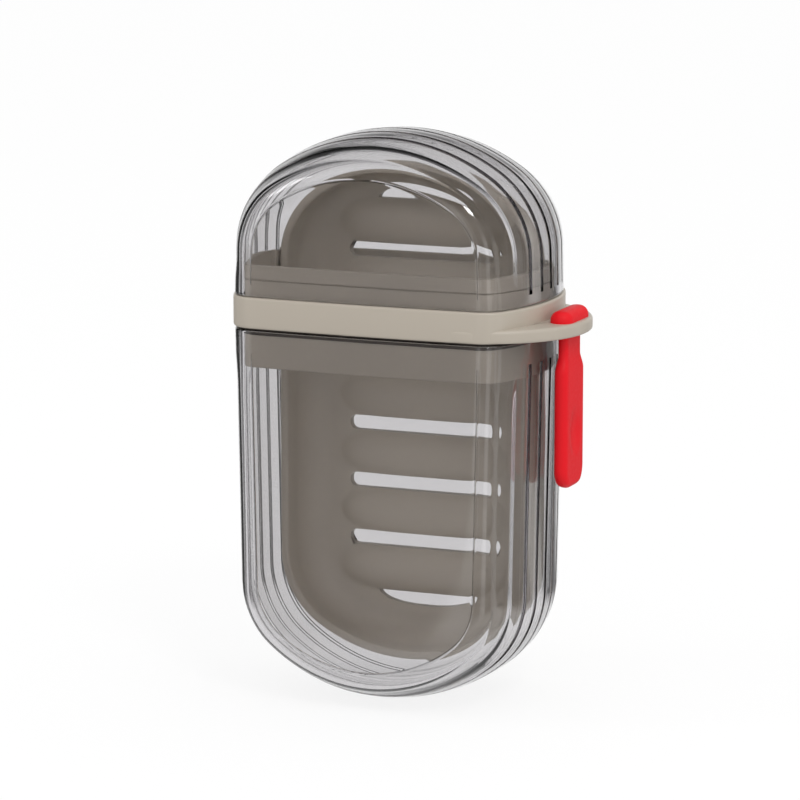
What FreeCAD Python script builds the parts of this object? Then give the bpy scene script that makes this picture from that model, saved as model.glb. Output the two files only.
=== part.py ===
"""Travel soap box: two clear shells that plug onto a beige band, with a drain tray and a silicone strap.

The long axis is Z, the front is -Y, and the ear with its strap is at +X.
The origin lies under the middle of the whole part, at the height of the lowest point of the box.
"""
import FreeCAD, Part
import math
import os
import Sketcher
from FreeCAD import Vector

document = FreeCAD.newDocument("travel_soap_box")

# Driving sizes, in millimetres and degrees, and the sizes that follow from them
SIZES = [
    ("body_width", 76.0, "width of both shells at the band"),
    ("body_depth", 48.0, "depth over the flat front and back panels"),
    ("side_radius", 50.0, "barrel radius of the side wall, front to back"),
    ("edge_radius", 6.0, "rounding between a flat panel and the side wall"),
    ("shell_wall", 2.0, "wall of both shells"),
    ("box_height", 89.2, "lower box, mouth to lowest point"),
    ("box_corner_share", 0.3158, "lower box, arc beside its straight sides, to the body width"),
    ("box_corner_radius", "=body_width * box_corner_share", "radius of that arc"),
    ("box_crown_share", 0.5842, "lower box, flatter arc at its end, to the body width"),
    ("box_crown_radius", "=body_width * box_crown_share", "radius of that arc"),
    ("box_draft", 1.05, "lower box, lean of its straight sides, degrees"),
    ("cover_height", 38.0, "top cover, mouth to highest point"),
    ("cover_corner_share", 0.3105, "top cover, arc beside its straight sides, to the body width"),
    ("cover_corner_radius", "=body_width * cover_corner_share", "radius of that arc"),
    ("cover_crown_share", 0.6526, "top cover, flatter arc at its end, to the body width"),
    ("cover_crown_radius", "=body_width * cover_crown_share", "radius of that arc"),
    ("cover_draft", 1.2, "top cover, lean of its straight sides, degrees"),
    ("groove_radius", 0.45, "half-round grooves that run round the side wall"),
    ("groove_pitch", 5.3, "groove spacing, measured round the side wall"),
    ("rim_height", 4.0, "plain rim between the band and the groove ends"),
    ("band_height", 8.3, "band between the two shells"),
    ("band_proud", 0.4, "how far the band stands out from the shells"),
    ("band_edge_radius", 0.6, "rounded outer edges of the band"),
    ("insert_clearance", 0.3, "gap between the band's inserts and the shells"),
    ("insert_wall", 1.6, "wall of the upstand and the skirt"),
    ("upstand_height", 7.0, "insert that plugs into the top cover"),
    ("skirt_height", 7.5, "insert that plugs into the lower box"),
    ("bead_rise", 3.4, "snap bead of the upstand, above the band"),
    ("bead_width", 0.6, "snap bead, height of its land"),
    ("bead_proud", 0.15, "snap bead, how far it stands out"),
    ("seal_height", 1.2, "seal ring at the root of the skirt"),
    ("seal_depth", 0.9, "seal ring, inside to outside"),
    ("seal_gap", 0.06, "seal ring, gap to the wall of the lower box"),
    ("ear_overhang", 8.7, "tip of the ear, out from the side of the shells"),
    ("ear_reach", "=body_width / 2 + ear_overhang", "tip of the ear, from the middle of the shells"),
    ("ear_thickness", 3.3, "ear plate, flush with the underside of the band"),
    ("strap_offset", 4.5, "middle of the strap, out from the side of the shells"),
    ("strap_place", "=body_width / 2 + strap_offset", "middle of the strap, from the middle of the shells"),
    ("strap_clearance", 0.3, "gap round the strap in the ear's slot"),
    ("head_length", 15.2, "strap head, front to back"),
    ("head_width", 5.5, "strap head, across"),
    ("head_thickness", 1.8, "strap head above the ear"),
    ("head_edge_radius", 0.7, "strap head, rounded top edge"),
    ("neck_width", 8.6, "strap neck, front to back"),
    ("neck_thickness", 2.2, "strap neck, across"),
    ("flex_drop", 2.4, "flex line of the strap below the ear"),
    ("flex_gap", 0.1, "gap between the strap's two halves at the flex line"),
    ("shoulder_drop", 4.2, "where the strap starts to widen, below the ear"),
    ("shoulder_height", 3.4, "length over which the strap widens"),
    ("tail_drop", 35.8, "lower end of the strap, below the ear"),
    ("tail_width", 11.6, "strap paddle, front to back"),
    ("tail_thickness", 2.6, "strap paddle, across"),
    ("tail_corner_radius", 4.2, "strap paddle, rounded lower corners"),
    ("tail_edge_radius", 0.7, "strap paddle, rounded long edges"),
    ("dimple_width", 5.6, "thumb dimple, front to back"),
    ("dimple_height", 9.6, "thumb dimple, up and down"),
    ("dimple_depth", 0.5, "thumb dimple, at its middle"),
    ("dimple_drop", 20.3, "middle of the thumb dimple, below the ear"),
    ("tray_side_gap", 5.6, "soap tray's rim, in from the side of the shells"),
    ("tray_width", "=body_width - 2 * tray_side_gap", "soap tray, across its rim"),
    ("tray_top_gap", 8.85, "soap tray's rim, down from the top of the cover"),
    ("tray_low_gap", 7.05, "soap tray's rim, up from the lowest point of the box"),
    ("body_height", "=box_height + band_height + cover_height", "both shells with the band between them"),
    ("tray_height", "=body_height - tray_top_gap - tray_low_gap", "soap tray, over its rim"),
    ("tray_rise", "=tray_low_gap + tray_height / 2", "middle of the soap tray above the lowest point"),
    ("tray_corner_share", 0.3241, "soap tray, arc beside its straight sides, to its width"),
    ("tray_corner_radius", "=tray_width * tray_corner_share", "radius of that arc"),
    ("tray_crown_share", 0.6481, "soap tray, flatter arc at its ends, to its width"),
    ("tray_crown_radius", "=tray_width * tray_crown_share", "radius of that arc"),
    ("tray_wall", 2.0, "wall of the soap tray, and width of its rim"),
    ("tray_rim_place", 4.0, "front of the rim, behind the middle of the shells"),
    ("tray_back_gap", 6.1, "back of the soap tray, in from the back of the shells"),
    ("tray_floor_place", "=body_depth / 2 - tray_back_gap - tray_wall", "front of its floor, to the back"),
    ("tray_bend_radius", 9.0, "outside bend between the floor and the sides"),
    ("drain_rise", 1.95, "middle of the row of drain slots above the middle of the soap tray"),
    ("drain_pitch_share", 0.1179, "spacing of the drain slots, to the tray's height"),
    ("drain_pitch", "=tray_height * drain_pitch_share", "spacing of the drain slots"),
    ("drain_share", 0.5926, "drain slot, end to end, to the tray's width"),
    ("drain_length", "=tray_width * drain_share", "drain slot, end to end"),
    ("drain_height", 2.9, "drain slot, up and down"),
    ("drain_end_radius", 1.2, "rounded corners of a drain slot"),
    ("crescent_share", 0.3611, "drain opening at each end of the tray, across, to the tray's width"),
    ("crescent_width", "=tray_width * crescent_share", "drain opening at each end of the tray, across"),
    ("crescent_height", 3.3, "drain opening at each end of the tray, at its middle"),
    ("bar_share", 0.6019, "swelling bar between two drain slots, end to end, to the tray's width"),
    ("bar_length", "=tray_width * bar_share", "swelling bar, end to end"),
    ("bar_gap", 0.4, "flat land between a swelling bar and a drain slot"),
    ("bar_height", "=drain_pitch - drain_height - 2 * bar_gap", "swelling bar, up and down"),
    ("bar_proud", 1.6, "swelling bar, how far it stands out of the floor"),
    ("lug_depth", 3.0, "lug on each side of the tray, front to back"),
    ("lug_height", 6.0, "lug on each side of the tray, up and down"),
    ("lug_place", 6.0, "middle of a lug, behind the middle of the shells"),
    ("guide_width", 1.5, "guide ribs of the band beside a lug"),
    ("guide_bite", 0.1, "how far the guides and ledges run into the wall of the band"),
    ("guide_clearance", 0.3, "gap between a lug or the tray and the band's guides"),
    ("ledge_height", 2.0, "ledge between the guide ribs that a lug sits on"),
    ("overrun", 3.0, "how far cuts run past the faces that they trim"),
]

GROOVE_STEPS = range(-2, 3)
FULL_DRAIN_COUNT = 6

sheet = document.addObject("Spreadsheet::Sheet", "Sizes")
for row, (alias, size, note) in enumerate(SIZES, start=1):
    sheet.set("A" + str(row), note)
    sheet.set("B" + str(row), str(size))
    sheet.setAlias("B" + str(row), alias)
document.recompute()

# Derived places, as expressions of the driving sizes
HALF_WIDTH = "Sizes.body_width / 2"
HALF_DEPTH = "Sizes.body_depth / 2"
BARREL_CENTRE = "(Sizes.body_width / 2 - Sizes.side_radius)"
EDGE_CENTRE_DEPTH = "(Sizes.body_depth / 2 - Sizes.edge_radius)"
PANEL_INSET = (
    "(Sizes.side_radius - sqrt((Sizes.side_radius - Sizes.edge_radius)^2"
    " - (Sizes.body_depth / 2 - Sizes.edge_radius)^2))"
)
SEAL_INSET = "(Sizes.shell_wall + Sizes.seal_gap + Sizes.seal_height * tan(Sizes.box_draft * 1 deg))"
UPSTAND_INSET = (
    "(Sizes.shell_wall + Sizes.insert_clearance + Sizes.upstand_height * tan(Sizes.cover_draft * 1 deg))"
)
SKIRT_INSET = (
    "(Sizes.shell_wall + Sizes.insert_clearance + Sizes.skirt_height * tan(Sizes.box_draft * 1 deg))"
)
OPENING_INSET = "(" + UPSTAND_INSET + " + Sizes.insert_wall)"
EAR_RADIUS = "(Sizes.body_depth / 2 + Sizes.band_proud)"
EAR_CENTRE = "(Sizes.ear_reach - " + EAR_RADIUS + ")"
MIDDLE_SHIFT = "((Sizes.ear_reach - Sizes.body_width / 2 - Sizes.band_proud) / 2)"
BAND_TOP = "(Sizes.box_height + Sizes.band_height)"

# A lug of the tray sits on its ledge, and the head of the strap is a bar with nearly round ends
LUG_LEVEL = "(Sizes.box_height - Sizes.skirt_height + Sizes.ledge_height)"
HEAD_ROUNDING_SHARE = 0.42


def value(expression):
    """Number that an expression of the driving sizes gives now."""
    return float(sheet.evalExpression(expression))


def new_body(label, height, turned=False):
    """Sub-part whose own origin lies at a height on the middle line of the shells."""
    body = document.addObject("PartDesign::Body", label)
    body.Label = label
    if turned:
        body.Placement.Rotation = FreeCAD.Rotation(Vector(1, 0, 0), 180)
    body.setExpression("Placement.Base.x", "-" + MIDDLE_SHIFT)
    body.setExpression("Placement.Base.z", height)
    return body


def new_sketch(body, name, role, offset=None):
    """Sketch on one of the body's own origin planes, moved along the plane's normal."""
    sketch = body.newObject("Sketcher::SketchObject", name)
    plane = [feature for feature in body.Origin.OriginFeatures if feature.Role == role][0]
    sketch.AttachmentSupport = [(plane, "")]
    sketch.MapMode = "FlatFace"
    if offset:
        sketch.setExpression("AttachmentOffset.Base.z", offset)
    return sketch


def dimension(sketch, kind, *where_and_expression):
    """Dimension of a sketch that follows the driving sizes."""
    *where, expression = where_and_expression
    index = sketch.addConstraint(Sketcher.Constraint(kind, *where, value(expression)))
    sketch.setExpression("Constraints[" + str(index) + "]", expression)


def place_point(sketch, geometry, point, across, up):
    """Ties one point of a sketch to a place measured from the sketch's origin."""
    dimension(sketch, "DistanceX", -1, 1, geometry, point, across)
    dimension(sketch, "DistanceY", -1, 1, geometry, point, up)


def arc(centre, radius, start, end):
    """Arc for a sketch, anticlockwise from one angle to another, in radians."""
    circle = Part.Circle(Vector(centre[0], centre[1], 0), Vector(0, 0, 1), radius)
    return Part.ArcOfCircle(circle, start, end)


def line(start, end):
    """Straight line for a sketch."""
    return Part.LineSegment(Vector(start[0], start[1], 0), Vector(end[0], end[1], 0))


def join_smoothly(sketch, chain, closed):
    """Each piece of a chain starts where the last one ends, in the same direction."""
    pairs = list(zip(chain, chain[1:]))
    if closed:
        pairs.append((chain[-1], chain[0]))
    for first, second in pairs:
        sketch.addConstraint(Sketcher.Constraint("Tangent", first, 2, second, 1))


def draw_section(sketch, inset):
    """Level section of the shells: flat front and back, barrel sides, rounded edges, set in evenly."""
    set_in = value(inset)
    barrel_x = value(BARREL_CENTRE)
    edge_y = value(EDGE_CENTRE_DEPTH)
    edge_x = value(HALF_WIDTH) - value(PANEL_INSET)
    barrel_radius = value("Sizes.side_radius") - set_in
    corner_radius = value("Sizes.edge_radius") - set_in
    face_y = value(HALF_DEPTH) - set_in
    meet = math.atan2(edge_y, edge_x - barrel_x)
    quarter = math.pi / 2
    pieces = [
        line((-edge_x, -face_y), (edge_x, -face_y)),
        arc((edge_x, -edge_y), corner_radius, -quarter, -meet),
        arc((barrel_x, 0), barrel_radius, -meet, meet),
        arc((edge_x, edge_y), corner_radius, meet, quarter),
        line((edge_x, face_y), (-edge_x, face_y)),
        arc((-edge_x, edge_y), corner_radius, quarter, math.pi - meet),
        arc((-barrel_x, 0), barrel_radius, math.pi - meet, math.pi + meet),
        arc((-edge_x, -edge_y), corner_radius, math.pi + meet, math.pi + quarter),
    ]
    front, front_right, right, back_right, back, back_left, left, front_left = [
        sketch.addGeometry(piece, False) for piece in pieces
    ]
    chain = [front, front_right, right, back_right, back, back_left, left, front_left]
    join_smoothly(sketch, chain, True)
    for corner in (front_right, back_right, back_left, front_left):
        dimension(sketch, "Radius", corner, "Sizes.edge_radius - (" + inset + ")")
    for side in (right, left):
        dimension(sketch, "Radius", side, "Sizes.side_radius - (" + inset + ")")
    place_point(sketch, right, 3, BARREL_CENTRE, "0")
    place_point(sketch, left, 3, "-" + BARREL_CENTRE, "0")
    for corner in (front_right, front_left):
        dimension(sketch, "DistanceY", -1, 1, corner, 3, "-" + EDGE_CENTRE_DEPTH)
    for corner in (back_right, back_left):
        dimension(sketch, "DistanceY", -1, 1, corner, 3, EDGE_CENTRE_DEPTH)


def draw_edge_section(sketch, inset, crest):
    """Right-hand end of the level section, closed by a line inside the flat panels."""
    set_in = value(inset)
    edge_y = value(EDGE_CENTRE_DEPTH)
    barrel_x = value(crest) - value("Sizes.side_radius")
    edge_x = value(crest) - value(PANEL_INSET)
    inner = "(" + crest + " - " + PANEL_INSET + " - Sizes.shell_wall)"
    inner_x = value(inner)
    face_y = value(HALF_DEPTH) - set_in
    barrel_radius = value("Sizes.side_radius") - set_in
    corner_radius = value("Sizes.edge_radius") - set_in
    meet = math.atan2(edge_y, edge_x - barrel_x)
    quarter = math.pi / 2
    pieces = [
        line((inner_x, -face_y), (edge_x, -face_y)),
        arc((edge_x, -edge_y), corner_radius, -quarter, -meet),
        arc((barrel_x, 0), barrel_radius, -meet, meet),
        arc((edge_x, edge_y), corner_radius, meet, quarter),
        line((edge_x, face_y), (inner_x, face_y)),
        line((inner_x, face_y), (inner_x, -face_y)),
    ]
    front, front_edge, side, back_edge, back, closing = [
        sketch.addGeometry(piece, False) for piece in pieces
    ]
    join_smoothly(sketch, [front, front_edge, side, back_edge, back], False)
    sketch.addConstraint(Sketcher.Constraint("Coincident", back, 2, closing, 1))
    sketch.addConstraint(Sketcher.Constraint("Coincident", closing, 2, front, 1))
    sketch.addConstraint(Sketcher.Constraint("Horizontal", front))
    sketch.addConstraint(Sketcher.Constraint("Horizontal", back))
    dimension(sketch, "DistanceX", -1, 1, closing, 1, inner)
    dimension(sketch, "DistanceX", -1, 1, closing, 2, inner)
    for corner in (front_edge, back_edge):
        dimension(sketch, "Radius", corner, "Sizes.edge_radius - (" + inset + ")")
    dimension(sketch, "Radius", side, "Sizes.side_radius - (" + inset + ")")
    place_point(sketch, side, 3, crest + " - Sizes.side_radius", "0")
    dimension(sketch, "DistanceY", -1, 1, front_edge, 3, "-" + EDGE_CENTRE_DEPTH)
    dimension(sketch, "DistanceY", -1, 1, back_edge, 3, EDGE_CENTRE_DEPTH)


def draw_arch(sketch, kind, inset, level):
    """Arch of a shell seen from the front: leaning sides, corner arcs and a flatter crown, set in evenly.

    The sides start at a level above the mouth. Returns the pieces from right to left.
    """
    set_in = value(inset)
    draft = math.radians(value("Sizes." + kind + "_draft"))
    top = value("Sizes." + kind + "_height")
    corner = value("Sizes." + kind + "_corner_radius")
    crown = value("Sizes." + kind + "_crown_radius")
    start_z = value(level)
    start = (
        "(Sizes.body_width / 2 - (" + level + ") * tan(Sizes." + kind + "_draft * 1 deg)"
        " - (" + inset + ") / cos(Sizes." + kind + "_draft * 1 deg))"
    )
    start_x = value(start)
    crown_z = top - crown
    # The corner's centre lies one corner radius inside the leaning side, on a circle about the crown's centre
    foot_x = value(HALF_WIDTH) - corner / math.cos(draft)
    lean = math.tan(draft)
    reach = crown - corner
    slope = 1 + lean * lean
    half_b = -lean * foot_x - crown_z
    rest = foot_x * foot_x + crown_z * crown_z - reach * reach
    corner_z = (-half_b + math.sqrt(half_b * half_b - slope * rest)) / slope
    corner_x = foot_x - lean * corner_z
    turn = math.atan2(corner_z - crown_z, corner_x)
    side_x = corner_x + (corner - set_in) * math.cos(draft)
    side_z = corner_z + (corner - set_in) * math.sin(draft)
    pieces = [
        line((start_x, start_z), (side_x, side_z)),
        arc((corner_x, corner_z), corner - set_in, draft, turn),
        arc((0, crown_z), crown - set_in, turn, math.pi - turn),
        arc((-corner_x, corner_z), corner - set_in, math.pi - turn, math.pi - draft),
        line((-side_x, side_z), (-start_x, start_z)),
    ]
    chain = [sketch.addGeometry(piece, False) for piece in pieces]
    right, right_corner, middle, left_corner, left = chain
    join_smoothly(sketch, chain, False)
    for bend in (right_corner, left_corner):
        dimension(sketch, "Radius", bend, "Sizes." + kind + "_corner_radius - (" + inset + ")")
    dimension(sketch, "Radius", middle, "Sizes." + kind + "_crown_radius - (" + inset + ")")
    crown_centre = "Sizes." + kind + "_height - Sizes." + kind + "_crown_radius"
    place_point(sketch, middle, 3, "0", crown_centre)
    place_point(sketch, right, 1, start, level)
    place_point(sketch, left, 2, "-" + start, level)
    dimension(sketch, "Angle", right, "90 deg + Sizes." + kind + "_draft * 1 deg")
    dimension(sketch, "Angle", left, "-90 deg - Sizes." + kind + "_draft * 1 deg")
    return chain


def draw_rectangle(sketch, left, right, low, high):
    """Rectangle between two places across and two places up."""
    x_low, x_high, y_low, y_high = [value(place) for place in (left, right, low, high)]
    corners = [(x_low, y_low), (x_high, y_low), (x_high, y_high), (x_low, y_high)]
    sides = [
        sketch.addGeometry(line(start, end), False)
        for start, end in zip(corners, corners[1:] + corners[:1])
    ]
    for first, second in zip(sides, sides[1:] + sides[:1]):
        sketch.addConstraint(Sketcher.Constraint("Coincident", first, 2, second, 1))
    for side in (sides[0], sides[2]):
        sketch.addConstraint(Sketcher.Constraint("Horizontal", side))
    for side in (sides[1], sides[3]):
        sketch.addConstraint(Sketcher.Constraint("Vertical", side))
    place_point(sketch, sides[0], 1, left, low)
    place_point(sketch, sides[2], 1, right, high)


def draw_rounded(sketch, middle, half_width, half_height, radius):
    """Rectangle with rounded corners about a middle place, given across and up."""
    across, up = middle
    centre_x, centre_y = value(across), value(up)
    reach_x, reach_y, bend = value(half_width), value(half_height), value(radius)
    inner_x, inner_y = reach_x - bend, reach_y - bend
    quarter = math.pi / 2
    pieces = []
    for step, (sign_x, sign_y) in enumerate([(1, -1), (1, 1), (-1, 1), (-1, -1)]):
        corner = (centre_x + sign_x * inner_x, centre_y + sign_y * inner_y)
        pieces.append(arc(corner, bend, (step - 1) * quarter, step * quarter))
    corners = [sketch.addGeometry(piece, False) for piece in pieces]
    ends = [piece.EndPoint for piece in pieces]
    starts = [piece.StartPoint for piece in pieces]
    chain = []
    for step, corner in enumerate(corners):
        following = starts[(step + 1) % len(starts)]
        side = sketch.addGeometry(Part.LineSegment(ends[step], following), False)
        chain += [corner, side]
    join_smoothly(sketch, chain, True)
    signs = [("+", "-"), ("+", "+"), ("-", "+"), ("-", "-")]
    for corner in corners:
        dimension(sketch, "Radius", corner, radius)
    for corner, (sign_x, sign_y) in list(zip(corners, signs))[::2]:
        place_point(
            sketch,
            corner,
            3,
            across + " " + sign_x + " (" + half_width + " - " + radius + ")",
            up + " " + sign_y + " (" + half_height + " - " + radius + ")",
        )
    for side in (chain[1], chain[5]):
        sketch.addConstraint(Sketcher.Constraint("Vertical", side))
    for side in (chain[3], chain[7]):
        sketch.addConstraint(Sketcher.Constraint("Horizontal", side))


def pad(body, name, sketch, length, reverse=False, both_ways=False):
    """Adds a sketch pushed out by a length."""
    feature = body.newObject("PartDesign::Pad", name)
    feature.Profile = sketch
    feature.setExpression("Length", length)
    feature.Reversed = reverse
    if both_ways:
        feature.SideType = "Symmetric"
    return feature


def pocket(body, name, sketch, length, reverse=False, both_ways=False):
    """Cuts a sketch pushed in by a length, and makes sure that the cut took something away."""
    document.recompute()
    before = body.Shape.Volume
    feature = body.newObject("PartDesign::Pocket", name)
    feature.Profile = sketch
    feature.setExpression("Length", length)
    feature.Reversed = reverse
    if both_ways:
        feature.SideType = "Symmetric"
    document.recompute()
    if not body.Shape.Volume < before:
        raise RuntimeError(name + " cuts nothing")
    return feature


def pipe(body, kind, name, profile, path, edges):
    """Carries a profile along the first edges of a path sketch."""
    feature = body.newObject("PartDesign::" + kind, name)
    feature.Profile = profile
    feature.Spine = (path, ["Edge" + str(edge + 1) for edge in range(edges)])
    feature.Transition = "Round corner"
    return feature


def fillet(body, name, radius, chosen):
    """Rounds the edges of the body's present shape that a test picks out."""
    document.recompute()
    base = body.Tip
    edges = [
        "Edge" + str(number)
        for number, edge in enumerate(base.Shape.Edges, start=1)
        if chosen(edge)
    ]
    feature = body.newObject("PartDesign::Fillet", name)
    feature.Base = (base, edges)
    feature.setExpression("Radius", radius)
    document.recompute()
    return feature


def hollow_out(body, name, wall, axis, mouth):
    """Turns the body's present shape into a dish of even wall, open at the face that lies at its mouth."""
    document.recompute()
    base = body.Tip
    at_mouth = lies_at(axis, mouth)
    faces = [
        "Face" + str(number)
        for number, face in enumerate(base.Shape.Faces, start=1)
        if at_mouth(face)
    ]
    feature = body.newObject("PartDesign::Thickness", name)
    feature.Base = (base, faces)
    feature.setExpression("Value", wall)
    feature.Reversed = True
    feature.Join = "Intersection"
    document.recompute()
    return feature


def lies_at(axis, place):
    """Test for edges and faces that lie wholly at one place along an axis."""
    tolerance_share = 1e-4
    level = value(place)
    margin = tolerance_share * value("Sizes.body_width")

    def test(piece):
        box = piece.BoundBox
        low = getattr(box, axis + "Min")
        high = getattr(box, axis + "Max")
        return abs(low - level) < margin and abs(high - level) < margin

    return test


def make_shell(label, kind, height, turned):
    """Clear shell with its mouth at the body's own origin: an even wall and grooves round the side."""
    body = new_body(label, height, turned)
    draft = "tan(Sizes." + kind + "_draft * 1 deg)"
    below = "-Sizes.overrun"
    crest = "(Sizes.body_width / 2 + Sizes.overrun * " + draft + ")"

    path = new_sketch(body, label + "_arch", "XZ_Plane")
    path_edges = len(draw_arch(path, kind, "0", below))
    outer_edge = new_sketch(body, label + "_outer_edge", "XY_Plane", below)
    draw_edge_section(outer_edge, "0", crest)
    pipe(body, "AdditivePipe", label + "_side", outer_edge, path, path_edges)

    panel = new_sketch(body, label + "_panel", "XZ_Plane")
    sides = draw_arch(panel, kind, PANEL_INSET, below)
    mouth_line = line(panel.getPoint(sides[-1], 2), panel.getPoint(sides[0], 1))
    closing = panel.addGeometry(mouth_line, False)
    panel.addConstraint(Sketcher.Constraint("Coincident", sides[-1], 2, closing, 1))
    panel.addConstraint(Sketcher.Constraint("Coincident", closing, 2, sides[0], 1))
    pad(body, label + "_core", panel, "Sizes.body_depth", both_ways=True)

    inner_edge = new_sketch(body, label + "_inner_edge", "XY_Plane", below)
    draw_edge_section(inner_edge, "Sizes.shell_wall", crest)
    pipe(body, "SubtractivePipe", label + "_side_room", inner_edge, path, path_edges)
    pocket(body, label + "_room", panel, "Sizes.body_depth - 2 * Sizes.shell_wall", both_ways=True)

    trim = new_sketch(body, label + "_trim", "XY_Plane")
    reach = "Sizes.body_width"
    draw_rectangle(trim, "-" + reach, reach, "-" + reach, reach)
    pocket(body, label + "_mouth", trim, "2 * Sizes.overrun")

    groove_path = new_sketch(body, label + "_groove_path", "XZ_Plane")
    groove_edges = len(draw_arch(groove_path, kind, "0", "Sizes.rim_height"))
    rim_crest = "(Sizes.body_width / 2 - Sizes.rim_height * " + draft + ")"
    for number, step in enumerate(GROOVE_STEPS, start=1):
        name = label + "_groove_" + str(number)
        profile = new_sketch(body, name + "_round", "XY_Plane", "Sizes.rim_height")
        turn = str(step) + " * Sizes.groove_pitch / Sizes.side_radius * 1 rad"
        across = rim_crest + " - Sizes.side_radius * (1 - cos(" + turn + "))"
        back = "Sizes.side_radius * sin(" + turn + ")"
        centre = Vector(value(across), value(back), 0)
        radius = value("Sizes.groove_radius")
        ring = profile.addGeometry(Part.Circle(centre, Vector(0, 0, 1), radius), False)
        dimension(profile, "Radius", ring, "Sizes.groove_radius")
        place_point(profile, ring, 3, across, back)
        pipe(body, "SubtractivePipe", name, profile, groove_path, groove_edges)
    return body


def make_band():
    """Beige collar: band, ear with the strap's slot, inserts for both shells and guides for the tray."""
    body = new_body("band", "Sizes.box_height")
    outside = new_sketch(body, "band_outside", "XY_Plane")
    draw_section(outside, "-Sizes.band_proud")
    pad(body, "band_solid", outside, "Sizes.band_height")

    fillet(body, "band_top_edge", "Sizes.band_edge_radius", lies_at("Z", "Sizes.band_height"))
    fillet(body, "band_low_edge", "Sizes.band_edge_radius", lies_at("Z", "0"))

    ear = new_sketch(body, "ear_plan", "XY_Plane")
    radius = value(EAR_RADIUS)
    centre_x = value(EAR_CENTRE)
    quarter = math.pi / 2
    nose = ear.addGeometry(arc((centre_x, 0), radius, -quarter, quarter), False)
    chord = ear.addGeometry(line((centre_x, radius), (centre_x, -radius)), False)
    ear.addConstraint(Sketcher.Constraint("Coincident", nose, 2, chord, 1))
    ear.addConstraint(Sketcher.Constraint("Coincident", chord, 2, nose, 1))
    dimension(ear, "Radius", nose, EAR_RADIUS)
    place_point(ear, nose, 3, EAR_CENTRE, "0")
    dimension(ear, "DistanceX", -1, 1, nose, 1, EAR_CENTRE)
    dimension(ear, "DistanceX", -1, 1, nose, 2, EAR_CENTRE)
    pad(body, "ear", ear, "Sizes.ear_thickness")

    upstand = new_sketch(body, "upstand_section", "XY_Plane", "Sizes.band_height")
    draw_section(upstand, UPSTAND_INSET)
    pad(body, "upstand", upstand, "Sizes.upstand_height")
    bead = new_sketch(body, "bead_section", "XY_Plane", "Sizes.band_height + Sizes.bead_rise")
    draw_section(bead, UPSTAND_INSET + " - Sizes.bead_proud")
    pad(body, "bead", bead, "Sizes.bead_width")
    skirt = new_sketch(body, "skirt_section", "XY_Plane")
    draw_section(skirt, SKIRT_INSET)
    pad(body, "skirt", skirt, "Sizes.skirt_height", reverse=True)
    seal_room = new_sketch(body, "seal_room_section", "XY_Plane")
    draw_section(seal_room, "Sizes.band_proud")
    draw_section(seal_room, SEAL_INSET + " + Sizes.seal_depth")
    pocket(body, "seal_room", seal_room, "Sizes.seal_height")

    opening = new_sketch(body, "opening_section", "XY_Plane", "-Sizes.skirt_height")
    draw_section(opening, OPENING_INSET)
    whole_height = "Sizes.skirt_height + Sizes.band_height + Sizes.upstand_height"
    pocket(body, "opening", opening, whole_height, reverse=True)

    slot = new_sketch(body, "slot_plan", "XY_Plane")
    draw_rectangle(
        slot,
        "Sizes.strap_place - Sizes.neck_thickness / 2 - Sizes.strap_clearance",
        "Sizes.strap_place + Sizes.neck_thickness / 2 + Sizes.strap_clearance",
        "-Sizes.neck_width / 2 - Sizes.strap_clearance",
        "Sizes.neck_width / 2 + Sizes.strap_clearance",
    )
    pocket(body, "strap_slot", slot, "Sizes.ear_thickness", reverse=True)

    # Guide ribs stand beside each lug of the tray, and a ledge between them carries it
    wall = "(Sizes.body_width / 2 - " + OPENING_INSET + " + Sizes.guide_bite)"
    rib_face = "(Sizes.tray_width / 2 + Sizes.guide_clearance)"
    lug_front = "(Sizes.lug_place - Sizes.lug_depth / 2 - Sizes.guide_clearance)"
    lug_back = "(Sizes.lug_place + Sizes.lug_depth / 2 + Sizes.guide_clearance)"
    ribs = new_sketch(body, "guide_plan", "XY_Plane", "-Sizes.skirt_height")
    ledges = new_sketch(body, "ledge_plan", "XY_Plane", "-Sizes.skirt_height")
    for left, right in ((rib_face, wall), ("-" + wall, "-" + rib_face)):
        draw_rectangle(ribs, left, right, lug_front + " - Sizes.guide_width", lug_front)
        draw_rectangle(ribs, left, right, lug_back, lug_back + " + Sizes.guide_width")
        draw_rectangle(ledges, left, right, lug_front, lug_back)
    pad(body, "guide_ribs", ribs, whole_height)
    pad(body, "ledges", ledges, "Sizes.ledge_height")
    return body


def make_box_seal():
    """Silicone ring in its room at the root of the skirt."""
    body = new_body("box_seal", "Sizes.box_height")
    ring = new_sketch(body, "seal_section", "XY_Plane")
    draw_section(ring, SEAL_INSET)
    draw_section(ring, SEAL_INSET + " + Sizes.seal_depth")
    pad(body, "seal_ring", ring, "Sizes.seal_height", reverse=True)
    return body


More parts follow.
